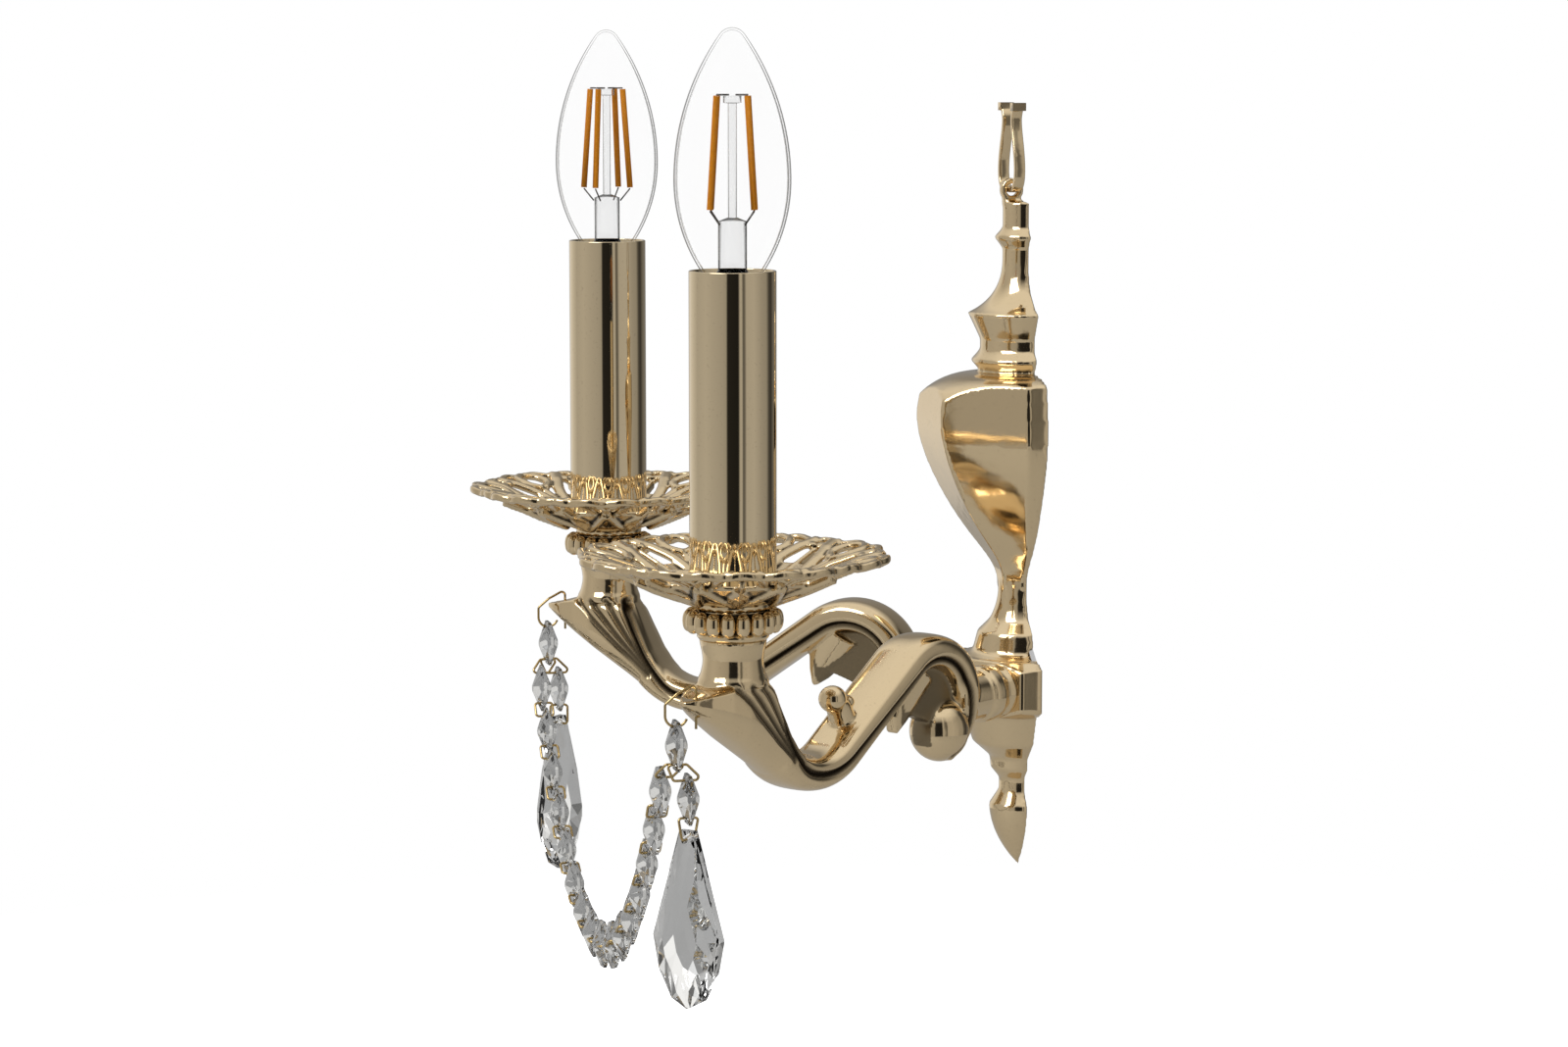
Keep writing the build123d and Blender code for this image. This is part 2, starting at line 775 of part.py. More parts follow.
# Candle stack, built on the candle axis
def beaded_collar():
    low = neck_top_z
    high = pan_foot_z
    bore = nipple_radius + bore_gap
    core = turned(Polyline(
        (bore, low),
        (collar_radius - 0.5, low),
        (collar_radius + 0.2, low + 1.3),
        (collar_radius - 0.2, low + 3.5),
        (collar_radius - 0.2, high - 3.5),
        (collar_radius + 0.6, high - 2.4),
        (collar_radius + 0.6, high - 0.8),
        (collar_radius, high),
        (bore, high),
        close=True,
    ))
    half = barrel_height / 2
    barrel = turned(
        Line((0, -half), (barrel_end_radius, -half)),
        ThreePointArc((barrel_end_radius, -half), (barrel_radius, 0), (barrel_end_radius, half)),
        Line((barrel_end_radius, half), (0, half)),
        Line((0, half), (0, -half)),
    )
    for i in range(barrel_count):
        turn = Rot(0, 0, i * 360 / barrel_count)
        core += turn * Pos(barrel_ring_radius, 0, (low + high) / 2) * barrel
    return core


# Shares of the pan's radius and rise along its curved wall
pan_curve = ((0.35, 0.13), (0.64, 0.50), (0.91, 0.83), (1.0, 1.0))


def drip_pan():
    bore = nipple_radius + bore_gap
    under = [(share_r * pan_radius, pan_foot_z + share_z * pan_rise) for share_r, share_z in pan_curve]
    above = [(0.99 * r, z + pan_wall) for r, z in under]
    floor_edge = (sleeve_radius + 1.5, pan_floor_z)
    dish = turned(
        Line((bore, pan_foot_z), (collar_radius, pan_foot_z)),
        Spline((collar_radius, pan_foot_z), *under),
        Line(under[-1], above[-1]),
        Spline(*reversed(above), floor_edge),
        Line(floor_edge, (bore, pan_floor_z)),
        Line((bore, pan_floor_z), (bore, pan_foot_z)),
    )
    plan = Circle(pan_radius - 0.4 * pan_lobe_radius)
    slots = Sketch()
    for i in range(pan_lobes):
        turn = Rot(0, 0, i * 360 / pan_lobes)
        between = Rot(0, 0, (i + 0.5) * 360 / pan_lobes)
        plan += turn * Pos(pan_radius - pan_lobe_radius, 0) * Circle(pan_lobe_radius)
        slots += turn * Pos(pan_inner_hole_r, 0) * SlotOverall(pan_hole_length, pan_hole_width)
        slots += between * Pos(pan_outer_hole_r, 0) * SlotOverall(pan_hole_length, pan_hole_width)
    dish &= Pos(0, 0, pan_foot_z - 1) * extrude(plan, 2 * pan_rise)
    return dish - Pos(0, 0, pan_foot_z - 1) * extrude(slots, 2 * pan_rise)


def pan_nut():
    return Pos(0, 0, pan_floor_z) * hex_nut(pan_nut_flats, pan_nut_thickness, nipple_radius)


def candle_nipple():
    return tube(nipple_radius, nipple_bore_radius, neck_top_z - nipple_depth, nipple_top_z)


def lampholder():
    radius = sleeve_bore - holder_gap
    body = Pos(0, 0, (holder_base_z + holder_top_z) / 2) * Cylinder(radius, holder_top_z - holder_base_z)
    body -= rod(nipple_radius + thread_clearance, (0, 0, holder_base_z), (0, 0, nipple_top_z + end_gap))
    body -= Pos(0, 0, contact_seat_z / 2) * Cylinder(wire_radius + bore_gap, contact_seat_z)
    shell_foot = contact_seat_z + contact_height
    body -= Pos(0, 0, (contact_seat_z + holder_top_z) / 2) * Cylinder(
        shell_radius - shell_thickness, holder_top_z - contact_seat_z)
    body -= Pos(0, 0, (shell_foot + holder_top_z) / 2) * Cylinder(
        shell_radius + thread_clearance, holder_top_z - shell_foot)
    return body


def holder_shell():
    foot = contact_seat_z + contact_height
    return tube(shell_radius, shell_radius - shell_thickness, foot, holder_top_z - end_gap)


def centre_contact():
    return Pos(0, 0, contact_seat_z + contact_height / 2) * Cylinder(contact_radius, contact_height)


# Bulb
def glass_edges(inset):
    widest = sleeve_top_z + bulb_widest_above_sleeve
    height = bulb_tip_above_sleeve - bulb_widest_above_sleeve
    lower_x = bulb_radius - bulb_lower_arc
    upper_x = bulb_radius - bulb_upper_arc
    tip = (bulb_upper_arc ** 2 - upper_x ** 2 - height ** 2) / (2 * (bulb_upper_arc - height))
    tip_z = widest + height - tip
    foot = math.degrees(math.asin((cap_top_z + inset - widest) / (bulb_lower_arc - inset)))
    join = math.degrees(math.atan2(tip_z - widest, -upper_x))
    return [
        CenterArc((lower_x, widest), bulb_lower_arc - inset, foot, -foot),
        CenterArc((upper_x, widest), bulb_upper_arc - inset, 0, join),
        CenterArc((0, tip_z), tip - inset, join, 90 - join),
    ]


def bulb_glass():
    outer = glass_edges(0)
    inner = glass_edges(glass_wall)
    floor = cap_top_z + glass_wall
    return turned(
        *outer,
        *inner,
        Line(outer[2] @ 1, inner[2] @ 1),
        Polyline(inner[0] @ 0, (glass_floor_radius, floor), (glass_floor_radius, cap_top_z), outer[0] @ 0),
    )


def bulb_cap():
    points = [(cap_bore_radius, cap_foot_z), (cap_radius - 0.6, cap_foot_z)]
    turns = int((cap_length - 6) / cap_thread_pitch)
    for i in range(turns):
        z = cap_foot_z + 1 + i * cap_thread_pitch
        points += [(cap_radius - cap_thread_depth, z), (cap_radius, z + cap_thread_pitch / 2)]
    points += [(cap_radius - cap_thread_depth, cap_foot_z + 1 + turns * cap_thread_pitch)]
    points += [(cap_radius - 0.2, cap_top_z), (cap_bore_radius, cap_top_z)]
    return turned(Polyline(*points, close=True))


def cap_insulator():
    low = contact_seat_z + contact_height + contact_gap
    return turned(Polyline(
        (0, low), (cap_contact_radius, low), (cap_contact_radius, low + 0.8), (cap_radius - 0.7, cap_foot_z),
        (0, cap_foot_z), close=True))


def bulb_stem():
    low = cap_top_z + glass_wall
    press = cap_top_z + stem_press_above_cap
    top = cap_top_z + stem_top_above_cap
    return turned(Polyline(
        (0, low), (stem_flange_radius, low), (stem_flange_radius, low + 0.7), (stem_radius, low + 3),
        (stem_radius, press), (stem_tube_radius, press + 1.2), (stem_tube_radius, top - 2.2),
        (stem_disc_radius, top - 2), (stem_disc_radius, top), (0, top), close=True))


def filament_angles():
    return [filament_turn + base + side * filament_half_angle for base in (0, 180) for side in (-1, 1)]


def at_angle(angle, radius, z):
    c, s = unit(angle)
    return radius * c, radius * s, z


def filaments():
    foot = cap_top_z + filament_foot_above_cap
    top = cap_top_z + stem_top_above_cap
    sticks = [
        rod(filament_radius, at_angle(a, filament_foot_spread, foot), at_angle(a, filament_top_spread, top))
        for a in filament_angles()
    ]
    return Compound(children=sticks)


def filament_wires():
    foot = cap_top_z + filament_foot_above_cap
    top = cap_top_z + stem_top_above_cap
    press = cap_top_z + stem_press_above_cap
    over = top + filament_wire_radius + 0.1
    wires = []
    for a in filament_angles():
        inner = at_angle(a, stem_tube_radius, over)
        wires.append(rod(filament_wire_radius, inner, at_angle(a, filament_top_spread, over)))
        start = at_angle(a, stem_radius + filament_wire_radius + 0.05, press - 1)
        wires.append(rod(filament_wire_radius, start, at_angle(a, filament_foot_spread, foot - 0.35)))
    return Compound(children=wires)


# Crystals, right-hand side in place
tip_x = candle_x + leaf_reach * sin_arm
tip_y = candle_y - leaf_reach * cos_arm
hook_x = tip_x - hook_hole_from_tip * sin_arm
hook_hole_y = tip_y + hook_hole_from_tip * cos_arm
ring_y = tip_y - hook_ring_before_tip
ring_z = leaf_tip_z - hook_ring_below_tip
tip_hole_z = ring_z - hook_ring_radius
tip_bead_z = tip_hole_z - bead_hole_from_centre
tip_pin_z = tip_bead_z - bead_hole_from_centre
strand_hole_z = tip_pin_z - pin_length
strand_bead_z = strand_hole_z - bead_hole_from_centre
strand_pin_z = strand_bead_z - bead_hole_from_centre
drop_hole_z = strand_pin_z - drop_pin_length
swag_y = ring_y - strand_step
strand_y = ring_y + strand_step


def crystal_hook():
    side = Plane(origin=(hook_x, 0, 0), x_dir=(0, 1, 0), z_dir=(1, 0, 0))
    lift = hook_wire_radius + hook_wire_gap
    tip_top = leaf_tip_z + leaf_tip_thickness + lift
    left = ring_y - hook_ring_radius
    wire = FilletPolyline(
        (hook_hole_y, hook_tail_end),
        (hook_hole_y, neck_base_z + lift),
        (tip_y - lift, tip_top + lift),
        (left, ring_z + hook_ring_radius),
        (left, ring_z),
        radius=3 * hook_wire_radius,
    )
    loop = CenterArc((ring_y, ring_z), hook_ring_radius, 180, 160)
    path = side * Wire(list(wire.edges()) + [loop])
    return sweep((path ^ 0) * Circle(hook_wire_radius), path=path)


def octagon(flats, y):
    shape = RegularPolygon(flats / 2, 8, major_radius=False, rotation=22.5)
    return Plane(origin=(0, y, 0), x_dir=(1, 0, 0), z_dir=(0, -1, 0)) * shape


def crystal_bead():
    half = bead_thickness / 2
    rim = bead_girdle / 2
    body = extrude(octagon(bead_flats, 0), rim, both=True)
    for side in (-1, 1):
        body += loft([octagon(bead_flats, side * rim), octagon(bead_table, side * half)], ruled=True)
    for side in (-1, 1):
        body -= Pos(0, 0, side * bead_hole_from_centre) * Rot(90, 0, 0) * Cylinder(bead_hole_radius, far / 4)
    return body


def wire_loop(*points):
    path = FilletPolyline(*points, radius=pin_corner, close=True)
    return sweep((path ^ 0) * Circle(pin_wire_radius), path=path)


def skew_pin(x, end_x, end_y, end_z, v):
    w = pin_half_width
    return wire_loop(
        (x, ring_y - w, tip_pin_z), (x, ring_y + w, tip_pin_z),
        (end_x, end_y + v, end_z), (end_x, end_y - v, end_z))


def strand_pin():
    c, s = unit(drop_turn)
    w = pin_half_width
    v = drop_pin_half_width
    upper = [Vector(hook_x, strand_y + side * w, strand_pin_z) for side in (-1, 1)]
    lower = [Vector(hook_x - side * v * s, strand_y + side * v * c, drop_hole_z) for side in (-1, 1)]
    middle = [(high + low) / 2 for high, low in zip(upper, lower)]
    loop = Part()
    for corners in (upper, lower):
        path = FilletPolyline(middle[0], *corners, middle[1], radius=pin_corner)
        loop += sweep((path ^ 0) * Circle(pin_wire_radius), path=path)
    return loop


def drop_outline(share, y):
    centre = -0.6 * drop_length
    right = (
        (drop_top_half_width, 0),
        (drop_half_width, centre),
        (0.83 * drop_half_width, -0.79 * drop_length),
        (0.46 * drop_half_width, -0.945 * drop_length),
    )
    points = list(right) + [(0, -drop_length)] + [(-x, z) for x, z in reversed(right)]
    placed = [(share * x, y, centre + share * (z - centre)) for x, z in points]
    return make_face(Polyline(*placed, close=True))


def drop():
    rim = drop_girdle / 2
    half = drop_thickness / 2
    body = loft([drop_outline(1, -rim), drop_outline(1, rim)], ruled=True)
    for side in (-1, 1):
        body += loft([drop_outline(1, side * rim), drop_outline(drop_table_share, side * half)], ruled=True)
    body -= Pos(0, 0, -drop_hole_below_top) * Rot(90, 0, 0) * Cylinder(bead_hole_radius, drop_thickness)
    return Pos(hook_x, strand_y, drop_hole_z + drop_hole_below_top) * Rot(0, 0, drop_turn) * body


# The chain hangs in a catenary from one tip bead's lower hole to the other's
def swag_chain():
    bead_span = 2 * bead_hole_from_centre
    length = swag_bead_count * (bead_span + pin_length) + pin_length
    half_span = hook_x - pin_side_step
    low = half_span / 20
    high = half_span * 20
    for _ in range(80):
        scale = (low + high) / 2
        if scale * math.sinh(half_span / scale) > length / 2:
            low = scale
        else:
            high = scale
    end_height = scale * math.cosh(half_span / scale)
    places = []
    for i in range(swag_bead_count):
        start = -length / 2 + pin_length + i * (bead_span + pin_length)
        ends = []
        for s in (start, start + bead_span):
            x = scale * math.asinh(s / scale)
            ends.append((x, tip_pin_z + scale * math.cosh(x / scale) - end_height))
        places.append(ends)
    return places


def swag_beads():
    crystal = crystal_bead()
    beads = []
    for (x1, z1), (x2, z2) in swag_chain():
        turn = math.degrees(math.atan2(x2 - x1, z2 - z1))
        beads.append(Pos((x1 + x2) / 2, swag_y, (z1 + z2) / 2) * Rot(0, turn, 0) * crystal)
    return Compound(children=beads)


def swag_pins():
    w = pin_half_width
    chain = swag_chain()
    pins = []
    for ends, following in zip(chain, chain[1:]):
        x1, z1 = ends[1]
        x2, z2 = following[0]
        pins.append(wire_loop(
            (x1, swag_y - w, z1), (x1, swag_y + w, z1), (x2, swag_y + w, z2), (x2, swag_y - w, z2)))
    last_x, last_z = chain[-1][1]
    to_swag = skew_pin(hook_x - pin_side_step, last_x, swag_y, last_z, pin_half_width)
    to_strand = skew_pin(hook_x + pin_side_step, hook_x, strand_y, strand_hole_z, to_strand_half_width)
    for pin in (to_swag, to_strand):
        pins += [pin, mirror(pin, about=Plane.YZ)]
    return Compound(children=pins)


os.makedirs("parts", exist_ok=True)
write("backplate", backplate())
write("rear_cover", rear_cover())
write("cover_screws", cover_screws())
write("cable_grommet", cable_grommet())
write("terminal_block", terminal_block())
write("terminal_screws", terminal_screws())
write("earth_screw", earth_screw())
write("hanging_link", hanging_link())
write("swag_beads", swag_beads())
write("swag_pins", swag_pins())
write_pair("arm", candle_place * arm_casting())
write_pair("arm_wire", arm_wire())
write_pair("arm_nipple", candle_place * arm_nipple())
write_pair("arm_nut", candle_place * arm_nut())
write_pair("beaded_collar", candle_place * beaded_collar())
write_pair("drip_pan", candle_place * drip_pan())
write_pair("candle_nipple", candle_place * candle_nipple())
write_pair("pan_nut", candle_place * pan_nut())
write_pair("lampholder", candle_place * lampholder())
write_pair("holder_shell", candle_place * holder_shell())
write_pair("centre_contact", candle_place * centre_contact())
write_pair("candle_sleeve", candle_place * tube(sleeve_radius, sleeve_bore, pan_floor_z, sleeve_top_z))
write_pair("bulb_glass", candle_place * bulb_glass())
write_pair("bulb_cap", candle_place * bulb_cap())
write_pair("cap_insulator", candle_place * cap_insulator())
write_pair("bulb_stem", candle_place * bulb_stem())
write_pair("filaments", candle_place * filaments())
write_pair("filament_wires", candle_place * filament_wires())
write_pair("crystal_hook", crystal_hook())
write_pair("tip_bead", Pos(hook_x, ring_y, tip_bead_z) * crystal_bead())
write_pair("strand_bead", Pos(hook_x, strand_y, strand_bead_z) * crystal_bead())
write_pair("strand_pin", strand_pin())
write_pair("drop", drop())
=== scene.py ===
import json
import math

import bmesh
import bpy
import numpy as np
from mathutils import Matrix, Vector


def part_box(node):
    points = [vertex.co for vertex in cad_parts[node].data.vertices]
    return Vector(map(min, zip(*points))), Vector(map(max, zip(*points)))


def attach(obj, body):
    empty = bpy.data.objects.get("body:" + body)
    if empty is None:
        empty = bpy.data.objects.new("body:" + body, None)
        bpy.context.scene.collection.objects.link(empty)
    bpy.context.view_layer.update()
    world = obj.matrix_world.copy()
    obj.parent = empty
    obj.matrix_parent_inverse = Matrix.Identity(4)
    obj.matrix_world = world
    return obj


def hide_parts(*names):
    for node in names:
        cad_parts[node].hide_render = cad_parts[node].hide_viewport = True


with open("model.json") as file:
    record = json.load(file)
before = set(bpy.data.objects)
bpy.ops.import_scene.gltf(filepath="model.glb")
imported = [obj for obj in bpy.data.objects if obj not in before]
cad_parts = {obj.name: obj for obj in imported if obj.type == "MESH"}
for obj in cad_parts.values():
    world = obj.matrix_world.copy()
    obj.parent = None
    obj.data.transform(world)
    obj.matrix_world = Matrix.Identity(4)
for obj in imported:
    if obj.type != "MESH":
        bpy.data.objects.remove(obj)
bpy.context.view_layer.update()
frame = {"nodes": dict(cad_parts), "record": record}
nodes = frame["nodes"]
bodyOf = {node: body for body, held in frame["record"]["behaviour"]["bodies"].items() for node in held}
mm = 0.001
sides = {"right": 1, "left": -1}
print("frame loaded")


def placed(name, data):
    obj = bpy.data.objects.new(name, data)
    bpy.context.scene.collection.objects.link(obj)
    return obj


def finalMesh(obj):
    return bpy.data.meshes.new_from_object(obj.evaluated_get(bpy.context.evaluated_depsgraph_get()))


# camera at the photograph's place
camera = {"lens": 88.43, "sensor": 36, "place": (1.20757, -0.38531, 0.20966), "tilt": 82.924,
          "turn": 75.844}
camData = bpy.data.cameras.new("camera")
camData.lens = camera["lens"]
camData.sensor_width = camera["sensor"]
camData.sensor_fit = "HORIZONTAL"
camObj = placed("camera", camData)
camObj.location = camera["place"]
camObj.rotation_euler = (math.radians(camera["tilt"]), 0, math.radians(camera["turn"]))
bpy.context.scene.camera = camObj
bpy.context.scene.view_settings.view_transform = "Standard"
print("camera set")


# mesh helpers, all in millimetres until a piece is placed
def loftRings(rings):
    rings = np.asarray(rings, float)
    count, around = rings.shape[:2]
    faces = []
    for i in range(count - 1):
        for j in range(around):
            k = (j + 1) % around
            faces.append((i * around + j, i * around + k, (i + 1) * around + k, (i + 1) * around + j))
    faces.append(tuple(range(around))[::-1])
    faces.append(tuple((count - 1) * around + j for j in range(around)))
    return rings.reshape(-1, 3), faces


def lathe(profile, around=64):
    turn = np.linspace(0, 2 * math.pi, around, endpoint=False)
    return loftRings([[(r * math.cos(a), r * math.sin(a), z) for a in turn] for r, z in profile])


def latheRing(profile, around=96):
    turn = np.linspace(0, 2 * math.pi, around, endpoint=False)
    verts = [(r * math.cos(a), r * math.sin(a), z) for r, z in profile for a in turn]
    count = len(profile)
    faces = []
    for i in range(count):
        for j in range(around):
            k = (j + 1) % around
            n = (i + 1) % count
            faces.append((i * around + j, i * around + k, n * around + k, n * around + j))
    return np.array(verts), faces


def ball(centre, radii, rows=20, around=32, pole=0.03):
    tilt = np.linspace(-math.pi / 2 + pole, math.pi / 2 - pole, rows)
    turn = np.linspace(0, 2 * math.pi, around, endpoint=False)
    rings = [[(centre[0] + radii[0] * math.cos(t) * math.cos(a),
               centre[1] + radii[1] * math.cos(t) * math.sin(a),
               centre[2] + radii[2] * math.sin(t)) for a in turn] for t in tilt]
    return loftRings(rings)


def squarish(v, power):
    return np.sign(v) * np.abs(v) ** (2 / power)


def tubeAlong(points, half, up=(0, 0, 1), around=16, power=2.0):
    points = np.asarray(points, float)
    half = np.broadcast_to(np.asarray(half, float), (len(points), 2))
    ahead = np.gradient(points, axis=0)
    ahead /= np.linalg.norm(ahead, axis=1)[:, None]
    ups = np.broadcast_to(np.asarray(up, float), points.shape)
    across = np.cross(ahead, ups)
    across /= np.linalg.norm(across, axis=1)[:, None]
    over = np.cross(across, ahead)
    turn = np.linspace(0, 2 * math.pi, around, endpoint=False)
    c, n = squarish(np.cos(turn), power), squarish(np.sin(turn), power)
    rings = points[:, None] + c[None, :, None] * (across * half[:, :1])[:, None]
    rings = rings + n[None, :, None] * (over * half[:, 1:])[:, None]
    return loftRings(rings)


def smoothCurve(points, count):
    points = np.asarray(points, float)
    gaps = np.r_[0, np.cumsum(np.linalg.norm(np.diff(points, axis=0), axis=1))]
    slopes = np.gradient(points, gaps, axis=0)
    at = np.linspace(0, gaps[-1], count)
    i = np.clip(np.searchsorted(gaps, at, side="right") - 1, 0, len(gaps) - 2)
    h = (gaps[i + 1] - gaps[i])[:, None]
    u = ((at - gaps[i]) / h[:, 0])[:, None]
    a = points[i] * (2 * u**3 - 3 * u**2 + 1) + slopes[i] * h * (u**3 - 2 * u**2 + u)
    return a + points[i + 1] * (3 * u**2 - 2 * u**3) + slopes[i + 1] * h * (u**3 - u**2)


def fuse(pieces, voxel):
    verts, faces, base = [], [], 0
    for pieceVerts, pieceFaces in pieces:
        verts.append(pieceVerts)
        faces += [tuple(base + k for k in f) for f in pieceFaces]
        base += len(pieceVerts)
    mesh = bpy.data.meshes.new("rough")
    mesh.from_pydata(np.concatenate(verts).tolist(), [], faces)
    rough = placed("rough", mesh)
    remesh = rough.modifiers.new("voxels", "REMESH")
    remesh.mode = "VOXEL"
    remesh.voxel_size = voxel
    done = finalMesh(rough)
    out = np.empty(len(done.vertices) * 3)
    done.vertices.foreach_get("co", out)
    quads = [tuple(p.vertices) for p in done.polygons]
    bpy.data.objects.remove(rough)
    bpy.data.meshes.remove(mesh)
    bpy.data.meshes.remove(done)
    return out.reshape(-1, 3), quads


def edgePairs(faces):
    pairs = np.concatenate([np.array([(f[k], f[(k + 1) % len(f)]) for f in faces]) for k in range(4)])
    return np.unique(np.sort(pairs, axis=1), axis=0)


def neighbourMean(values, pairs):
    total = np.zeros_like(values)
    count = np.zeros(len(values))
    for a, b in ((0, 1), (1, 0)):
        np.add.at(total, pairs[:, a], values[pairs[:, b]])
        np.add.at(count, pairs[:, a], 1)
    return total / count.reshape((-1,) + (1,) * (values.ndim - 1))


def relax(verts, pairs, steps, inward=0.5, outward=0.52):
    for _ in range(steps):  # a step in and a slightly longer one out, so the piece keeps its size
        verts = verts + inward * (neighbourMean(verts, pairs) - verts)
        verts = verts - outward * (neighbourMean(verts, pairs) - verts)
    return verts


def vertexNormals(verts, faces):
    f = np.array(faces)
    n = np.cross(verts[f[:, 2]] - verts[f[:, 0]], verts[f[:, 3]] - verts[f[:, 1]])
    out = np.zeros_like(verts)
    for k in range(4):
        np.add.at(out, f[:, k], n)
    return out / np.maximum(np.linalg.norm(out, axis=1), 1e-12)[:, None]


def hollows(verts, faces, pairs, reach):
    normal = vertexNormals(verts, faces)
    lift = np.einsum("ij,ij->i", neighbourMean(verts, pairs) - verts, normal)
    for _ in range(reach):
        lift = neighbourMean(lift, pairs)
    return lift


def step(low, high, x):
    u = np.clip((x - low) / (high - low), 0, 1)
    return u * u * (3 - 2 * u)


def addPiece(name, verts, faces, material, patinaAndShade=None, flip=False):
    mesh = bpy.data.meshes.new(name)
    if flip:
        faces = [f[::-1] for f in faces]
    mesh.from_pydata(np.asarray(verts).tolist(), [], faces)
    mesh.polygons.foreach_set("use_smooth", [True] * len(mesh.polygons))
    # the vertex mark carries tarnish and painted shade for the cast metal
    if patinaAndShade is not None:
        layer = mesh.attributes.new("patinaAndShade", "FLOAT", "POINT")
        layer.data.foreach_set("value", np.asarray(patinaAndShade, "f"))
    mesh.materials.append(material)
    return placed(name, mesh)


def mergedMesh(node, weld=2e-6):
    work = bmesh.new()
    work.from_mesh(nodes[node].data)
    bmesh.ops.remove_doubles(work, verts=work.verts, dist=weld)
    mesh = bpy.data.meshes.new(node + ".merged")
    work.to_mesh(mesh)
    work.free()
    return mesh


def smoothCopy(node, material, edge=35):
    mesh = mergedMesh(node)
    mesh.polygons.foreach_set("use_smooth", [True] * len(mesh.polygons))
    mesh.set_sharp_from_angle(angle=math.radians(edge))
    mesh.materials.append(material)
    standFor(placed(node + ".smooth", mesh), node)


def standFor(obj, node):
    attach(obj, bodyOf[node])
    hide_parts(node)


# where each candle stands and how its arm points
arms = {"angle": 35.5, "bowl": (34.0, 9.5), "bowlRadius": 22.5, "bowlFrom": -138, "scroll": (90.5, 0.0),
        "scrollRadius": 18.25, "scrollTo": -58, "thick": 10.8, "wide": 9.5, "square": 3.0,
        "taperAt": [0, 0.6, 1], "taper": [1, 0.95, 0.62], "thinBase": 0.55, "thinGain": 0.45}
low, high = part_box("candle_sleeve_right")
candleX = (low[0] + high[0]) / 2 / mm
candleY = (low[1] + high[1]) / 2 / mm
sinArm = math.sin(math.radians(arms["angle"]))
cosArm = math.cos(math.radians(arms["angle"]))


def onCandle(verts, side):
    r, w, z = verts.T
    x = candleX - r * sinArm - w * cosArm
    y = candleY + r * cosArm - w * sinArm
    return np.stack([side * x, y, z], axis=1) * mm


# materials: cast metal darkened in its hollows with tarnish and painted shade, and a fine grain for
# everything else
cast = {"fineScale": 900, "fineDetail": 3, "broadScale": 60, "broadDetail": 2, "spotFrom": 0.60,
        "spotTo": 0.78, "spotDark": 0.25, "stainShadeRough": 0.4, "waveHeight": 0.0006}
grain = {"detail": 3, "height": 0.0002}


def shaderGroup(name, inputs, outputs):
    group = bpy.data.node_groups.new(name, "ShaderNodeTree")
    for label, kind, value in inputs:
        group.interface.new_socket(label, in_out="INPUT", socket_type=kind).default_value = value
    for label, kind in outputs:
        group.interface.new_socket(label, in_out="OUTPUT", socket_type=kind)
    return group, group.nodes.new("NodeGroupInput"), group.nodes.new("NodeGroupOutput")


def castSurface():
    group, start, end = shaderGroup(
        "castSurface",
        [("Metal", "NodeSocketColor", (0.8, 0.68, 0.47, 1)),
         ("Dark", "NodeSocketColor", (0.016, 0.010, 0.005, 1)),
         ("Polish", "NodeSocketFloat", 0.12), ("Wave", "NodeSocketFloat", 0.2)],
        [("Colour", "NodeSocketColor"), ("Roughness", "NodeSocketFloat"), ("Normal", "NodeSocketVector")])
    make, link = group.nodes.new, group.links.new
    place = make("ShaderNodeTexCoord")
    patinaAndShade = make("ShaderNodeAttribute")
    patinaAndShade.attribute_name = "patinaAndShade"
    fine = make("ShaderNodeTexNoise")
    fine.inputs["Scale"].default_value = cast["fineScale"]
    fine.inputs["Detail"].default_value = cast["fineDetail"]
    link(place.outputs["Object"], fine.inputs["Vector"])
    broad = make("ShaderNodeTexNoise")
    broad.inputs["Scale"].default_value = cast["broadScale"]
    broad.inputs["Detail"].default_value = cast["broadDetail"]
    link(place.outputs["Object"], broad.inputs["Vector"])
    spots = make("ShaderNodeMapRange")
    spots.inputs["From Min"].default_value = cast["spotFrom"]
    spots.inputs["From Max"].default_value = cast["spotTo"]
    spots.inputs["To Max"].default_value = cast["spotDark"]
    link(fine.outputs["Fac"], spots.inputs["Value"])
    # the darkening is the vertex mark of tarnish and painted shade, or random dark spots in the metal
    mask = make("ShaderNodeMath")
    mask.operation = "MAXIMUM"
    link(patinaAndShade.outputs["Fac"], mask.inputs[0])
    uneven = make("ShaderNodeMath")
    uneven.operation = "MULTIPLY"
    link(spots.outputs["Result"], uneven.inputs[0])
    link(broad.outputs["Fac"], uneven.inputs[1])
    link(uneven.outputs[0], mask.inputs[1])
    mix = make("ShaderNodeMix")
    mix.data_type = "RGBA"
    link(mask.outputs[0], mix.inputs["Factor"])
    link(start.outputs["Metal"], mix.inputs["A"])
    link(start.outputs["Dark"], mix.inputs["B"])
    link(mix.outputs["Result"], end.inputs["Colour"])
    rough = make("ShaderNodeMath")
    rough.operation = "MULTIPLY_ADD"
    rough.inputs[1].default_value = cast["stainShadeRough"]
    link(mask.outputs[0], rough.inputs[0])
    link(start.outputs["Polish"], rough.inputs[2])
    link(rough.outputs[0], end.inputs["Roughness"])
    bump = make("ShaderNodeBump")
    bump.inputs["Distance"].default_value = cast["waveHeight"]
    link(start.outputs["Wave"], bump.inputs["Strength"])
    link(broad.outputs["Fac"], bump.inputs["Height"])
    link(bump.outputs["Normal"], end.inputs["Normal"])
    return group


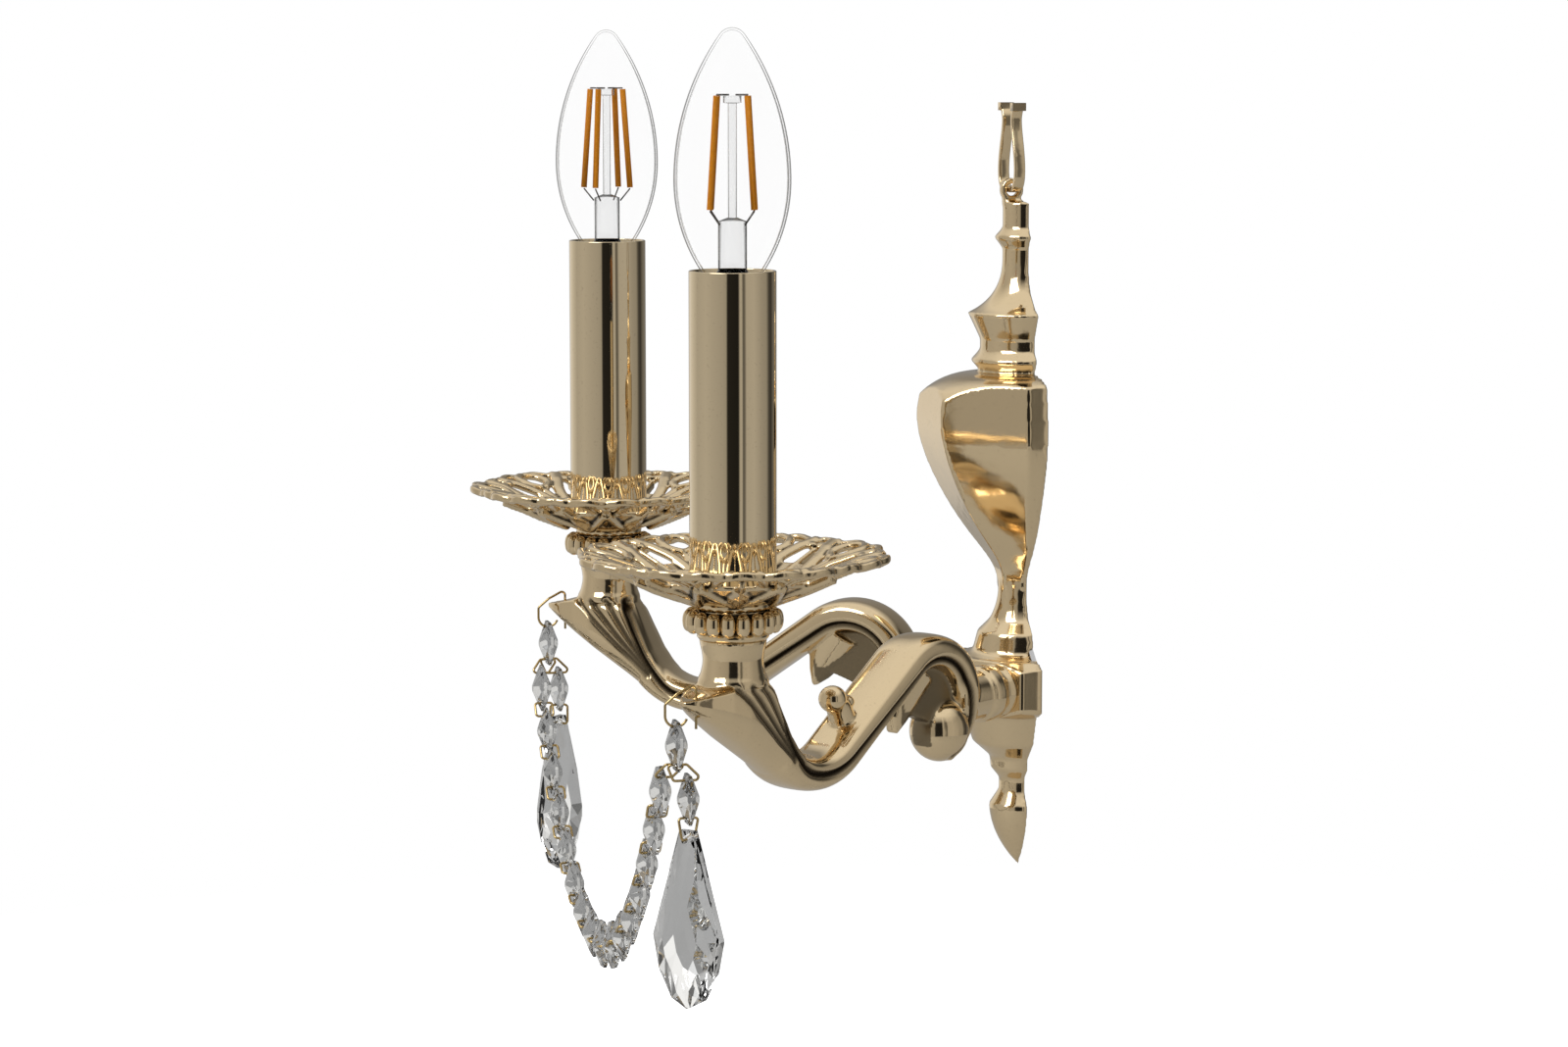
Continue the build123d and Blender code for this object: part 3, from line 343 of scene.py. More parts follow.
def fineGrain():
    group, start, end = shaderGroup(
        "fineGrain",
        [("Tone", "NodeSocketColor", (0.5, 0.5, 0.5, 1)), ("Shade", "NodeSocketColor", (0.4, 0.4, 0.4, 1)),
         ("Scale", "NodeSocketFloat", 300.0), ("Smooth", "NodeSocketFloat", 0.3),
         ("Uneven", "NodeSocketFloat", 0.1), ("Depth", "NodeSocketFloat", 0.1)],
        [("Colour", "NodeSocketColor"), ("Roughness", "NodeSocketFloat"), ("Normal", "NodeSocketVector")])
    make, link = group.nodes.new, group.links.new
    place = make("ShaderNodeTexCoord")
    noise = make("ShaderNodeTexNoise")
    noise.inputs["Detail"].default_value = grain["detail"]
    link(place.outputs["Object"], noise.inputs["Vector"])
    link(start.outputs["Scale"], noise.inputs["Scale"])
    mix = make("ShaderNodeMix")
    mix.data_type = "RGBA"
    link(noise.outputs["Fac"], mix.inputs["Factor"])
    link(start.outputs["Tone"], mix.inputs["A"])
    link(start.outputs["Shade"], mix.inputs["B"])
    link(mix.outputs["Result"], end.inputs["Colour"])
    rough = make("ShaderNodeMath")
    rough.operation = "MULTIPLY_ADD"
    link(noise.outputs["Fac"], rough.inputs[0])
    link(start.outputs["Uneven"], rough.inputs[1])
    link(start.outputs["Smooth"], rough.inputs[2])
    link(rough.outputs[0], end.inputs["Roughness"])
    bump = make("ShaderNodeBump")
    bump.inputs["Distance"].default_value = grain["height"]
    link(start.outputs["Depth"], bump.inputs["Strength"])
    link(noise.outputs["Fac"], bump.inputs["Height"])
    link(bump.outputs["Normal"], end.inputs["Normal"])
    return group


def groupMaterial(name, group, values, **constants):
    material = bpy.data.materials.new(name)
    material.use_nodes = True
    tree = material.node_tree
    shader = tree.nodes["Principled BSDF"]
    for key, value in constants.items():
        shader.inputs[key].default_value = value
    surface = tree.nodes.new("ShaderNodeGroup")
    surface.node_tree = group
    for key, value in values.items():
        surface.inputs[key].default_value = (*value, 1) if isinstance(value, tuple) else value
    tree.links.new(surface.outputs["Colour"], shader.inputs["Base Color"])
    tree.links.new(surface.outputs["Roughness"], shader.inputs["Roughness"])
    tree.links.new(surface.outputs["Normal"], shader.inputs["Normal"])
    return material


def metalMaterial(name, colour, polish, wave):
    return groupMaterial(name, castGroup, {"Metal": colour, "Polish": polish, "Wave": wave}, Metallic=1.0)


def grainMaterial(name, tone, shade, scale, smooth, uneven, depth, **constants):
    values = {"Tone": tone, "Shade": shade, "Scale": scale, "Smooth": smooth, "Uneven": uneven,
              "Depth": depth}
    return groupMaterial(name, grainGroup, values, **constants)


# thin blown glass: clear where it faces the eye, and a grey line where it turns away
def thinGlass(material, start, end, clearest, rimmed, blend=0.5):
    tree = material.node_tree
    tilt = tree.nodes.new("ShaderNodeLayerWeight")
    tilt.inputs["Blend"].default_value = blend
    solid = tree.nodes.new("ShaderNodeMapRange")
    solid.inputs["From Min"].default_value = start
    solid.inputs["From Max"].default_value = end
    solid.inputs["To Min"].default_value = clearest
    solid.inputs["To Max"].default_value = rimmed
    tree.links.new(tilt.outputs["Facing"], solid.inputs["Value"])
    tree.links.new(solid.outputs["Result"], tree.nodes["Principled BSDF"].inputs["Alpha"])


castGroup = castSurface()
grainGroup = fineGrain()
castBrass = metalMaterial("castBrass", (0.80, 0.63, 0.39), 0.09, 0.22)
polishedBrass = metalMaterial("polishedBrass", (0.80, 0.66, 0.44), 0.04, 0.02)
pinWire = metalMaterial("pinWire", (0.60, 0.44, 0.20), 0.2, 0.1)
plated = metalMaterial("plated", (0.60, 0.60, 0.60), 0.3, 0.1)
darkWire = metalMaterial("darkWire", (0.16, 0.15, 0.14), 0.3, 0.1)
clear = {"Transmission Weight": 1.0}
crystal = grainMaterial("crystal", (0.95, 0.95, 0.94), (0.90, 0.91, 0.91), 120, 0.0, 0.01, 0.01,
                        IOR=1.54, **clear)
beadCrystal = grainMaterial("beadCrystal", (0.70, 0.70, 0.69), (0.60, 0.61, 0.61), 120, 0.0, 0.01, 0.01,
                            IOR=1.54, **clear)
bulbGlass = grainMaterial("bulbGlass", (0.10, 0.10, 0.10), (0.06, 0.06, 0.06), 80, 0.0, 0.01, 0.01,
                          IOR=1.47, **clear)
thinGlass(bulbGlass, 0.72, 0.86, 0.008, 0.92)
stemGlass = grainMaterial("stemGlass", (0.10, 0.105, 0.10), (0.06, 0.065, 0.06), 200, 0.02, 0.05, 0.03,
                          IOR=1.5, **clear)
thinGlass(stemGlass, 0.42, 0.72, 0.10, 0.92)
amber = grainMaterial("amber", (0.74, 0.27, 0.008), (0.56, 0.18, 0.004), 900, 0.45, 0.2, 0.2,
                      **{"Specular IOR Level": 0.2})
darkPlastic = grainMaterial("darkPlastic", (0.024, 0.023, 0.022), (0.012, 0.012, 0.012), 500,
                            0.35, 0.15, 0.1)
palePlastic = grainMaterial("palePlastic", (0.80, 0.79, 0.74), (0.68, 0.67, 0.62), 400, 0.4, 0.15, 0.1)
rubber = grainMaterial("rubber", (0.03, 0.03, 0.03), (0.012, 0.012, 0.012), 700, 0.6, 0.2, 0.3)
slotMaterials = {
    "cast_brass": castBrass, "polished_brass": polishedBrass, "contact_brass": polishedBrass,
    "pin_wire": pinWire, "plated_steel": plated, "cover_steel": plated, "cap_metal": plated,
    "wire_sheath": palePlastic,
    "holder_plastic": darkPlastic, "terminal_plastic": palePlastic, "insulator": darkPlastic,
    "grommet_rubber": rubber, "filament_resin": amber, "bulb_glass": bulbGlass, "crystal": crystal,
}
for part in frame["record"]["subparts"]:
    mesh = nodes[part["node"]].data
    mesh.materials.clear()
    mesh.materials.append(slotMaterials[part["material_slot"]])
print("materials set")


# studio: white to the camera, with a ring of light and dark cards for metal and another for cut glass
# each card is its compass angle and its level
metalCards = [(-180, 0.5), (-165, 0.8), (-150, 0.7), (-120, 0.46), (-90, 0.5), (-60, 0.44), (-40, 0.40),
              (-31, 0.36), (-27, 0.02), (2, 0.015), (6, 0.46), (11, 0.46), (14, 0.12), (19, 0.16), (23, 0.46),
              (45, 0.48), (70, 0.36), (86, 0.32), (96, 0.08), (106, 0.04), (120, 0.16), (150, 0.24),
              (172, 0.3), (180, 0.5)]
glassCards = [(-180, 1.0), (-165, 0.12), (-140, 1.0), (-115, 0.10), (-90, 0.9), (-60, 0.05), (-40, 0.9),
              (-15, 0.02), (10, 0.8), (35, 0.06), (60, 1.0), (85, 0.08), (110, 0.9), (130, 0.12), (148, 1.0),
              (172, 1.0), (180, 1.0)]
studio = {"roofFrom": 0.5, "roofTo": 0.85, "metalRoof": 0.85, "glassRoof": 0.55, "tint": (1, 0.985, 0.96)}


def studioWorld():
    world = bpy.data.worlds.new("studio")
    bpy.context.scene.world = world
    world.use_nodes = True
    tree = world.node_tree
    make, link = tree.nodes.new, tree.links.new
    where = make("ShaderNodeTexCoord")
    split = make("ShaderNodeSeparateXYZ")
    link(where.outputs["Generated"], split.inputs[0])
    turn = make("ShaderNodeMath")
    turn.operation = "ARCTAN2"
    link(split.outputs["Y"], turn.inputs[0])
    link(split.outputs["X"], turn.inputs[1])
    share = make("ShaderNodeMapRange")
    share.inputs["From Min"].default_value = -math.pi
    share.inputs["From Max"].default_value = math.pi
    link(turn.outputs[0], share.inputs["Value"])
    rise = make("ShaderNodeMapRange")
    rise.inputs["From Min"].default_value = studio["roofFrom"]
    rise.inputs["From Max"].default_value = studio["roofTo"]
    link(split.outputs["Z"], rise.inputs["Value"])

    def cardRing(stops, top):
        ring = make("ShaderNodeValToRGB")
        ramp = ring.color_ramp
        ramp.elements.remove(ramp.elements[1])
        ramp.elements[0].color = (stops[0][1],) * 3 + (1,)
        for angle, level in stops[1:]:
            element = ramp.elements.new((angle + 180) / 360)
            element.color = (*(level * part for part in studio["tint"]), 1)
        link(share.outputs["Result"], ring.inputs["Fac"])
        roof = make("ShaderNodeMix")
        roof.data_type = "RGBA"
        roof.inputs["B"].default_value = (top, top, top, 1)
        link(rise.outputs["Result"], roof.inputs["Factor"])
        link(ring.outputs["Color"], roof.inputs["A"])
        room = make("ShaderNodeBackground")
        link(roof.outputs["Result"], room.inputs["Color"])
        return room

    rays = make("ShaderNodeLightPath")
    white = tree.nodes["Background"]
    white.inputs["Color"].default_value = (1, 1, 1, 1)
    glass = make("ShaderNodeMixShader")
    link(rays.outputs["Is Transmission Ray"], glass.inputs["Fac"])
    link(cardRing(metalCards, studio["metalRoof"]).outputs[0], glass.inputs[1])
    link(cardRing(glassCards, studio["glassRoof"]).outputs[0], glass.inputs[2])
    pick = make("ShaderNodeMixShader")
    link(rays.outputs["Is Camera Ray"], pick.inputs["Fac"])
    link(glass.outputs[0], pick.inputs[1])
    link(white.outputs[0], pick.inputs[2])
    link(pick.outputs[0], tree.nodes["World Output"].inputs["Surface"])


def areaLight(name, place, aim, size, power):
    data = bpy.data.lights.new(name, "AREA")
    data.shape = "RECTANGLE"
    data.size, data.size_y = size
    data.energy = power
    obj = placed(name, data)
    obj.location = place
    obj.rotation_euler = (Vector(aim) - Vector(place)).to_track_quat("-Z", "Y").to_euler()


# the floor keeps the shadow in its middle and fades to the white room at its rim
floorDisc = {"radius": 1.1, "height": -0.3, "corners": 96, "glow": 1.62, "share": 0.5, "fadeFrom": 0.45,
             "fadeTo": 0.9}


def floorPaint():
    material = grainMaterial("floorPaint", (0.52, 0.52, 0.52), (0.48, 0.48, 0.48), 3, 0.7, 0.1, 0.0)
    tree = material.node_tree
    make, link = tree.nodes.new, tree.links.new
    glow = make("ShaderNodeEmission")
    glow.inputs["Strength"].default_value = floorDisc["glow"]
    rays = make("ShaderNodeLightPath")
    share = make("ShaderNodeMath")
    share.operation = "MULTIPLY"
    place = make("ShaderNodeTexCoord")
    far = make("ShaderNodeVectorMath")
    far.operation = "LENGTH"
    fade = make("ShaderNodeMapRange")
    fade.inputs["From Min"].default_value = floorDisc["fadeFrom"]
    fade.inputs["From Max"].default_value = floorDisc["fadeTo"]
    fade.inputs["To Min"].default_value = floorDisc["share"]
    mix = make("ShaderNodeMixShader")
    link(place.outputs["Object"], far.inputs[0])
    link(far.outputs["Value"], fade.inputs["Value"])
    link(fade.outputs["Result"], share.inputs[1])
    link(rays.outputs["Is Camera Ray"], share.inputs[0])
    link(share.outputs[0], mix.inputs["Fac"])
    link(tree.nodes["Principled BSDF"].outputs[0], mix.inputs[1])
    link(glow.outputs[0], mix.inputs[2])
    link(mix.outputs[0], tree.nodes["Material Output"].inputs["Surface"])
    return material


studioWorld()
areaLight("keyLight", place=(0.6, -1.2, 1.3), aim=(0, -0.08, 0.05), size=(1.0, 1.0), power=14)
floorMesh = bpy.data.meshes.new("floor")
floorTurn = np.linspace(0, 2 * math.pi, floorDisc["corners"], endpoint=False)
floorRim = [(floorDisc["radius"] * math.cos(a), floorDisc["radius"] * math.sin(a), floorDisc["height"])
            for a in floorTurn]
floorMesh.from_pydata(floorRim, [], [tuple(range(floorDisc["corners"]))])
floorMesh.materials.append(floorPaint())
floor = placed("floor", floorMesh)
print("studio set")


# cast arms: S-scroll band, leaf, neck, scroll ball, bud and root, fused and then chased
def flatArc(centre, radius, start, end, count):
    a = np.radians(np.linspace(start, end, count))
    return centre + radius * np.stack([np.cos(a), np.sin(a)], axis=1)


def armPath():
    bowl, scroll = np.array(arms["bowl"]), np.array(arms["scroll"])
    gap = scroll - bowl
    slope = math.degrees(math.atan2(gap[1], gap[0])
                         + math.asin((arms["bowlRadius"] + arms["scrollRadius"]) / np.hypot(*gap)))
    under = flatArc(bowl, arms["bowlRadius"], arms["bowlFrom"], slope - 90, 40)
    over = flatArc(scroll, arms["scrollRadius"], slope + 90, arms["scrollTo"], 70)
    bar = under[-1] + (over[0] - under[-1]) * np.linspace(0, 1, 24)[1:-1, None]
    return under, bar, over


def flatLeft(line):
    ahead = np.gradient(line, axis=0)
    ahead /= np.linalg.norm(ahead, axis=1)[:, None]
    return np.stack([-ahead[:, 1], ahead[:, 0]], axis=1)


def bandLoft():
    under, bar, over = armPath()
    line = np.concatenate([under, bar, over])
    left = flatLeft(line)
    shrink = np.interp(np.linspace(0, 1, len(over)), arms["taperAt"], arms["taper"])
    taper = np.concatenate([np.ones(len(under) + len(bar)), shrink])
    turn = np.linspace(0, 2 * math.pi, 48, endpoint=False)
    across = squarish(np.cos(turn), arms["square"])
    outward = squarish(np.sin(turn), arms["square"])
    rings = []
    for (r, z), (lr, lz), k in zip(line, left, taper):
        t = outward * arms["thick"] / 2 * (arms["thinBase"] + arms["thinGain"] * k)
        w = across * arms["wide"] * k
        rings.append(np.stack([r + t * lr, w, z + t * lz], axis=1))
    return loftRings(rings)


# leaf under the neck: it falls from its tip to the band, with a dished top near the tip
leaf = {"tipR": -23.1, "tipZ": 14.9, "fall": 0.682, "endR": 24, "bandFrom": 18.2,
        "wideAt": [-23.1, -20, -16, -10, -3, 6, 14, 24],
        "halfWide": [0.9, 3.6, 6.3, 9.0, 10.7, 10.4, 9.8, 9.4],
        "topAt": [-23.1, -14, -10, 9, 11.5, 14.5, 17.8, 21, 24],
        "top": [16.5, 19.4, 20.3, 20.3, 17.5, 10.5, 3.4, -1.5, -4.9],
        "sideSquare": 2.6, "topSquare": 6.0, "underSquare": 2.4,
        "dish": 1.6, "dishFrom": -8, "dishRun": 4, "dishThick": 1.8, "dishFull": 6}


def leafLoft():
    stations = np.linspace(leaf["tipR"] + 0.1, leaf["endR"], 56)
    halfWide = np.interp(stations, leaf["wideAt"], leaf["halfWide"])
    line = leaf["tipZ"] - leaf["fall"] * (stations - leaf["tipR"])
    room = (arms["bowlRadius"] + arms["thick"] / 2) ** 2 - (stations - arms["bowl"][0]) ** 2
    outer = arms["bowl"][1] - np.sqrt(np.maximum(room, 0))
    low = np.where(stations < leaf["bandFrom"], line, outer)
    top = np.interp(stations, leaf["topAt"], leaf["top"])
    turn = np.linspace(0, 2 * math.pi, 56, endpoint=False)
    c, n = np.cos(turn), np.sin(turn)
    rise = squarish(n, np.where(n > 0, leaf["topSquare"], leaf["underSquare"]))
    rings = []
    for r, h, lo, hi in zip(stations, halfWide, low, top):
        w = h * squarish(c, leaf["sideSquare"])
        z = (lo + hi) / 2 + (hi - lo) / 2 * rise
        if r < leaf["dishFrom"]:
            deep = leaf["dish"] * np.clip((leaf["dishFrom"] - r) / leaf["dishRun"], 0, 1) * (1 - (w / h) ** 2)
            deep = deep * (hi - lo > leaf["dishThick"]) * min(1, (hi - lo) / leaf["dishFull"])
            z = z - np.where(n > 0, deep, 0)
        rings.append(np.stack([np.full_like(w, r), w, z], axis=1))
    return loftRings(rings)


neckShape = [(10.9, 18.6), (10.8, 20.4), (9.9, 22.2), (9.35, 24.6), (9.2, 26.5), (9.5, 28.8),
             (10.0, 31.0), (10.2, 32.6)]
# what is fused to the band, leaf and neck: bud in the bowl, tongue on the scroll, root, web and scroll ball
casting = {"voxel": 0.55, "polish": 3,
           "bud": [(53.5, 0, -2.5), (51.5, 0, 2.0), (49.5, 0, 5.6), (47.2, 0, 7.6)],
           "budWide": (5.0, 4.2), "budThick": (4.4, 3.2), "budSteps": 18,
           "budBalls": [((47, 0, 8), (4.3, 4.6, 4.3)), ((52.2, 0, 6.6), (3.0, 4.0, 2.4))],
           "tongue": [(86, 0, 12), (82, 0, 5.5), (79, 0, -1.0), (76.6, 0, -6.6)],
           "tongueWide": (6.5, 2.2), "tongueAt": [0, 0.5, 0.8, 1], "tongueThick": [9, 6.6, 3.8, 0.8],
           "tongueSteps": 22,
           "rootHalf": 8.0, "root": [(119.5, 8.0), (120.5, 9.0), (121.5, 9.3), (124.5, 9.3), (125.5, 9.0),
                                     (126.5, 8.2), (128.8, 8.2), (129.4, 8.9), (131, 8.9)],
           "webRadius": 14, "webFrom": 172, "webTo": -42, "webHalf": 3,
           "webInner": [(8, -8), (-1, -4), (-9, -1)],
           "scrollBall": (10.5, -9), "scrollBallRadii": (10.2, 9.6, 10.2)}


def armRough():
    sx, sz = arms["scroll"]
    reach = casting["webRadius"]
    turn = np.linspace(0, 2 * math.pi, 48, endpoint=False)
    back = [(sx + reach, casting["rootHalf"])] + casting["root"]
    root = loftRings([[(r, h * math.cos(a), h * math.sin(a)) for a in turn] for r, h in back])
    sweep = np.radians(np.linspace(casting["webFrom"], casting["webTo"], 40))
    inner = [(sx + reach * math.cos(a), sz + reach * math.sin(a)) for a in sweep]
    inner += [(sx + r, sz + z) for r, z in casting["webInner"]]
    web = loftRings([[(r, w, z) for r, z in inner] for w in (-casting["webHalf"], casting["webHalf"])])
    ballR, ballZ = casting["scrollBall"]
    scrollBall = ball((sx + ballR, 0, sz + ballZ), casting["scrollBallRadii"])
    count = casting["budSteps"]
    budHalf = np.stack([np.linspace(*casting[key], count) for key in ("budWide", "budThick")], axis=1)
    bud = tubeAlong(smoothCurve(casting["bud"], count), budHalf, up=(1, 0, 0))
    count = casting["tongueSteps"]
    thick = np.interp(np.linspace(0, 1, count), casting["tongueAt"], casting["tongueThick"])
    tongueHalf = np.stack([np.linspace(*casting["tongueWide"], count), thick], axis=1)
    tongue = tubeAlong(smoothCurve(casting["tongue"], count), tongueHalf, up=(1, 0, 0))
    budBalls = [ball(centre, radii) for centre, radii in casting["budBalls"]]
    return [bandLoft(), leafLoft(), lathe(neckShape), root, web, scrollBall, bud, *budBalls, tongue]


# grooves on both cheeks: one along the whole scroll, and four flutes on the leaf
groove = {"deep": 1.8, "wide": 1.15, "skip": 14, "every": 3, "offset": [1.2, 0.2, -0.8, -2.5, -2.7, 0.8, 2.2],
          "lead": [(9.3, 19.4), (12.0, 12.0), (15.2, 4.2), (19.0, -2.8)],
          "fluteDeep": 1.0, "fluteWide": 0.8,
          "flutes": [[(-7.5, 18.6), (1.5, 9.6), (10.0, 1.6), (18.5, -6.0)],
                     [(-2.6, 19.2), (4.6, 10.6), (11.5, 2.8), (18.8, -5.0)],
                     [(3.2, 19.4), (8.2, 11.4), (13.2, 3.8), (19.0, -4.2)],
                     [(17.0, -1.2), (13.2, 8.5), (11.3, 15.0), (10.6, 19.0)]]}


def armGrooves():
    under, bar, over = armPath()
    line = np.concatenate([under, bar, over])
    count = len(line)
    along = np.linspace(0, 1, count)
    mark = len(under) / count
    marks = [0, mark * 0.55, mark, (len(under) + len(bar)) / count, 0.75, 0.9, 1.0]
    offset = np.interp(along, marks, groove["offset"])
    main = (line + flatLeft(line) * offset[:, None])[groove["skip"]:]
    main = smoothCurve(np.concatenate([groove["lead"], main[::groove["every"]]]), 420)
    flutes = [(smoothCurve(f, 120), groove["fluteDeep"], groove["fluteWide"]) for f in groove["flutes"]]
    return [(main, groove["deep"], groove["wide"])] + flutes


# the grooves are cut in the cheeks alone, and grooves, hollows and the scroll's web are darkened with tarnish
# and painted shade
chasing = {"sideFrom": 3.0, "sideTo": 5.5, "stainShadeWide": 1.2, "stainShadeFull": 1.2, "hollowFrom": 0.02,
           "hollowTo": 0.08, "hollowStainShade": 0.9, "webRadius": 13.2, "webHalf": 3.6, "webStainShade": 0.7}


def chase(verts, faces, grooves):
    pairs = edgePairs(faces)
    verts = relax(verts, pairs, casting["polish"])
    normal = vertexNormals(verts, faces)
    side = step(chasing["sideFrom"], chasing["sideTo"], np.abs(verts[:, 1]))
    depth = np.zeros(len(verts))
    stainAndShade = np.zeros(len(verts))
    for line, deep, wide in grooves:
        near = np.full(len(verts), 1e9)
        for part in np.array_split(np.arange(len(line)), 12):  # a few points at a time, to save memory
            gap = verts[:, None, [0, 2]] - line[None, part]
            near = np.minimum(near, (gap ** 2).sum(axis=2).min(axis=1))
        depth = np.maximum(depth, deep * np.exp(-near / wide ** 2))
        dark = np.exp(-(near / (chasing["stainShadeWide"] * wide) ** 2) ** 2)
        stainAndShade = np.maximum(stainAndShade, dark * min(1, deep / chasing["stainShadeFull"]))
    verts = verts - normal * (depth * side)[:, None]
    # hollows and the scroll's web take painted shade along with tarnish
    lift = hollows(verts, faces, pairs, 3)
    sunk = step(chasing["hollowFrom"], chasing["hollowTo"], lift) * chasing["hollowStainShade"]
    stainAndShade = np.clip(np.maximum(stainAndShade * side, sunk), 0, 1)
    fromScroll = np.hypot(verts[:, 0] - arms["scroll"][0], verts[:, 2] - arms["scroll"][1])
    inside = fromScroll < chasing["webRadius"]
    stainAndShade = np.maximum(stainAndShade, chasing["webStainShade"] * inside * (np.abs(verts[:, 1]) < chasing["webHalf"]))
    return verts, stainAndShade


armVerts, armFaces = fuse(armRough(), casting["voxel"])
armVerts, armStainAndShade = chase(armVerts, armFaces, armGrooves())
for name, side in sides.items():
    arm = addPiece("castArm_" + name, onCandle(armVerts, side), armFaces, castBrass, armStainAndShade, side < 0)
    standFor(arm, "arm_" + name)
print("arms", len(armFaces))


# pierced leaf pans: a shell in the middle, a wavy rim, and ribs between them
# a rib is its guide points by radius and degrees, then its number of steps, its lift, and its half width
# and half thickness at both ends
pan = {"lobes": 8, "rim": 42.3, "swell": 2.7, "swellPower": 0.6, "ragged": 1.8, "curl": 0.3,
       "rimHalf": (1.3, 1.25), "rimSquare": 4.0, "voxel": 0.55, "polish": 2, "top": 59.3,
       "stainShadeTo": 0.034, "stainLeast": 0.1,
       "heightAt": [8, 14, 17, 20, 25, 31, 38, 44, 48.2],
       "height": [46.0, 46.3, 47.2, 48.4, 50.4, 53.2, 56.0, 57.4, 57.6],
       "shell": [(5.3, 45.0), (11.0, 45.0), (15.0, 45.5), (20.0, 47.0), (25.0, 49.0), (29.5, 51.2),
                 (29.5, 52.7), (25.0, 50.7), (20.0, 48.8), (16.0, 47.6), (14.0, 47.2), (5.3, 47.2)],
       "border": ([(15, 7), (22, 6), (30, 9), (37, 14), (43.5, 18)], 40, 0.5, (1.8, 2.3), (1.2, 1.4)),
       "under": ([(15.5, 3), (20, 10), (26, 17), (32, 22)], 30, -1.9, (1.3, 1.3), (1.2, 1.2)),
       "loop": ([(45, 0.5), (41.5, 6.5), (37.2, 7.5), (33, 1)], 26, 0.6, (1.6, 1.6), (1.3, 1.3)),
       "hook": ([(45, 6), (41, 5), (38.5, 1)], 20, 0.3, (1.7, 1.7), (1.3, 1.3)),
       "vein": ([(15, 0), (22, 0), (29, 0), (36, 0)], 30, -0.2, (2.6, 1.4), (1.2, 1.2)),
       "rib": ([(15, 0), (25, 0), (38.5, 0)], 24, -1.4, (0.8, 0.8), (1.9, 1.9)),
       "blade": [14.5, 19, 25, 31], "bladeLift": -1.6, "bladeWide": 3.0, "bladeEnd": 0.3, "bladeThick": 1.3,
       "bladeSweep": (0.4, 2.9), "bladeSteps": 24}


def panHeight(r):
    return np.interp(r, pan["heightAt"], pan["height"])


def panCurve(polar, count, lift):
    flat = smoothCurve(polar, count)
    r, a = flat[:, 0], np.radians(flat[:, 1])
    return np.stack([r * np.cos(a), r * np.sin(a), panHeight(r) + lift], axis=1)


def panRib(start, hand, points, count, lift, wide, thick):
    line = panCurve([(r, start + hand * turn) for r, turn in points], count, lift)
    return tubeAlong(line, np.stack([np.linspace(*wide, count), np.linspace(*thick, count)], axis=1))


def panBlade(start):
    line = panCurve([(r, start) for r in pan["blade"]], pan["bladeSteps"], pan["bladeLift"])
    swell = np.sin(np.linspace(*pan["bladeSweep"], pan["bladeSteps"]))
    wide = pan["bladeWide"] * swell + pan["bladeEnd"]
    return tubeAlong(line, np.stack([wide, np.full(pan["bladeSteps"], pan["bladeThick"])], axis=1))


def panRough():
    pieces = [latheRing(pan["shell"])]
    turn = np.linspace(0, 360, 721)
    around = np.radians(turn) * pan["lobes"]
    swell = pan["swell"] * np.abs(np.sin(around / 2)) ** pan["swellPower"]
    wave = pan["rim"] + swell + pan["ragged"] * np.abs(np.cos(around * 1.5))
    curl = panHeight(wave) + pan["curl"] * np.cos(around * 3)
    rim = [(r * math.cos(a), r * math.sin(a), z) for r, a, z in zip(wave, np.radians(turn), curl)]
    pieces.append(tubeAlong(rim, pan["rimHalf"], power=pan["rimSquare"]))
    share = 360 / pan["lobes"]
    for i in range(pan["lobes"]):
        base = (i + 0.5) * share
        edge = base + share / 2
        for hand in (-1, 1):
            pieces += [panRib(base, hand, *pan["border"]), panRib(edge, -hand, *pan["under"]),
                       panRib(base, hand, *pan["loop"]), panRib(edge, -hand, *pan["hook"])]
        pieces += [panRib(base, 1, *pan["vein"]), panBlade(edge), panRib(edge, 1, *pan["rib"])]
    return pieces


panVerts, panFaces = fuse(panRough(), pan["voxel"])
panPairs = edgePairs(panFaces)
panVerts = relax(panVerts, panPairs, pan["polish"])
# the pan's hollows are darkened with tarnish and painted shade, over an even light darkening of the whole pan
panStainAndShade = np.clip(step(0.0, pan["stainShadeTo"], hollows(panVerts, panFaces, panPairs, 2)), 0, 1)
panStainAndShade = np.maximum(panStainAndShade, pan["stainLeast"])
panVerts[:, 2] = np.minimum(panVerts[:, 2], pan["top"])
for name, side in sides.items():
    piece = addPiece("leafPan_" + name, onCandle(panVerts, side), panFaces, castBrass, panStainAndShade, side < 0)
    standFor(piece, "drip_pan_" + name)
print("pans", len(panFaces))


# collars: a turned core, and a ring of barrel beads made with nodes
collar = {"core": [(5.3, 32.75), (10.4, 32.75), (10.9, 33.4), (10.9, 34.4), (10.2, 35.2), (10.2, 41.2),
                   (10.6, 41.5), (11.2, 42.3), (11.3, 43.2), (11.0, 44.2), (10.3, 44.95), (5.3, 44.95)],
          "beads": 18, "ring": 0.0130, "bead": 0.0027, "height": 0.0080, "middle": 0.0383,
          "corners": 8, "soften": 3, "gapFrom": 35.0, "gapTo": 41.4, "gapStainShade": 0.9}


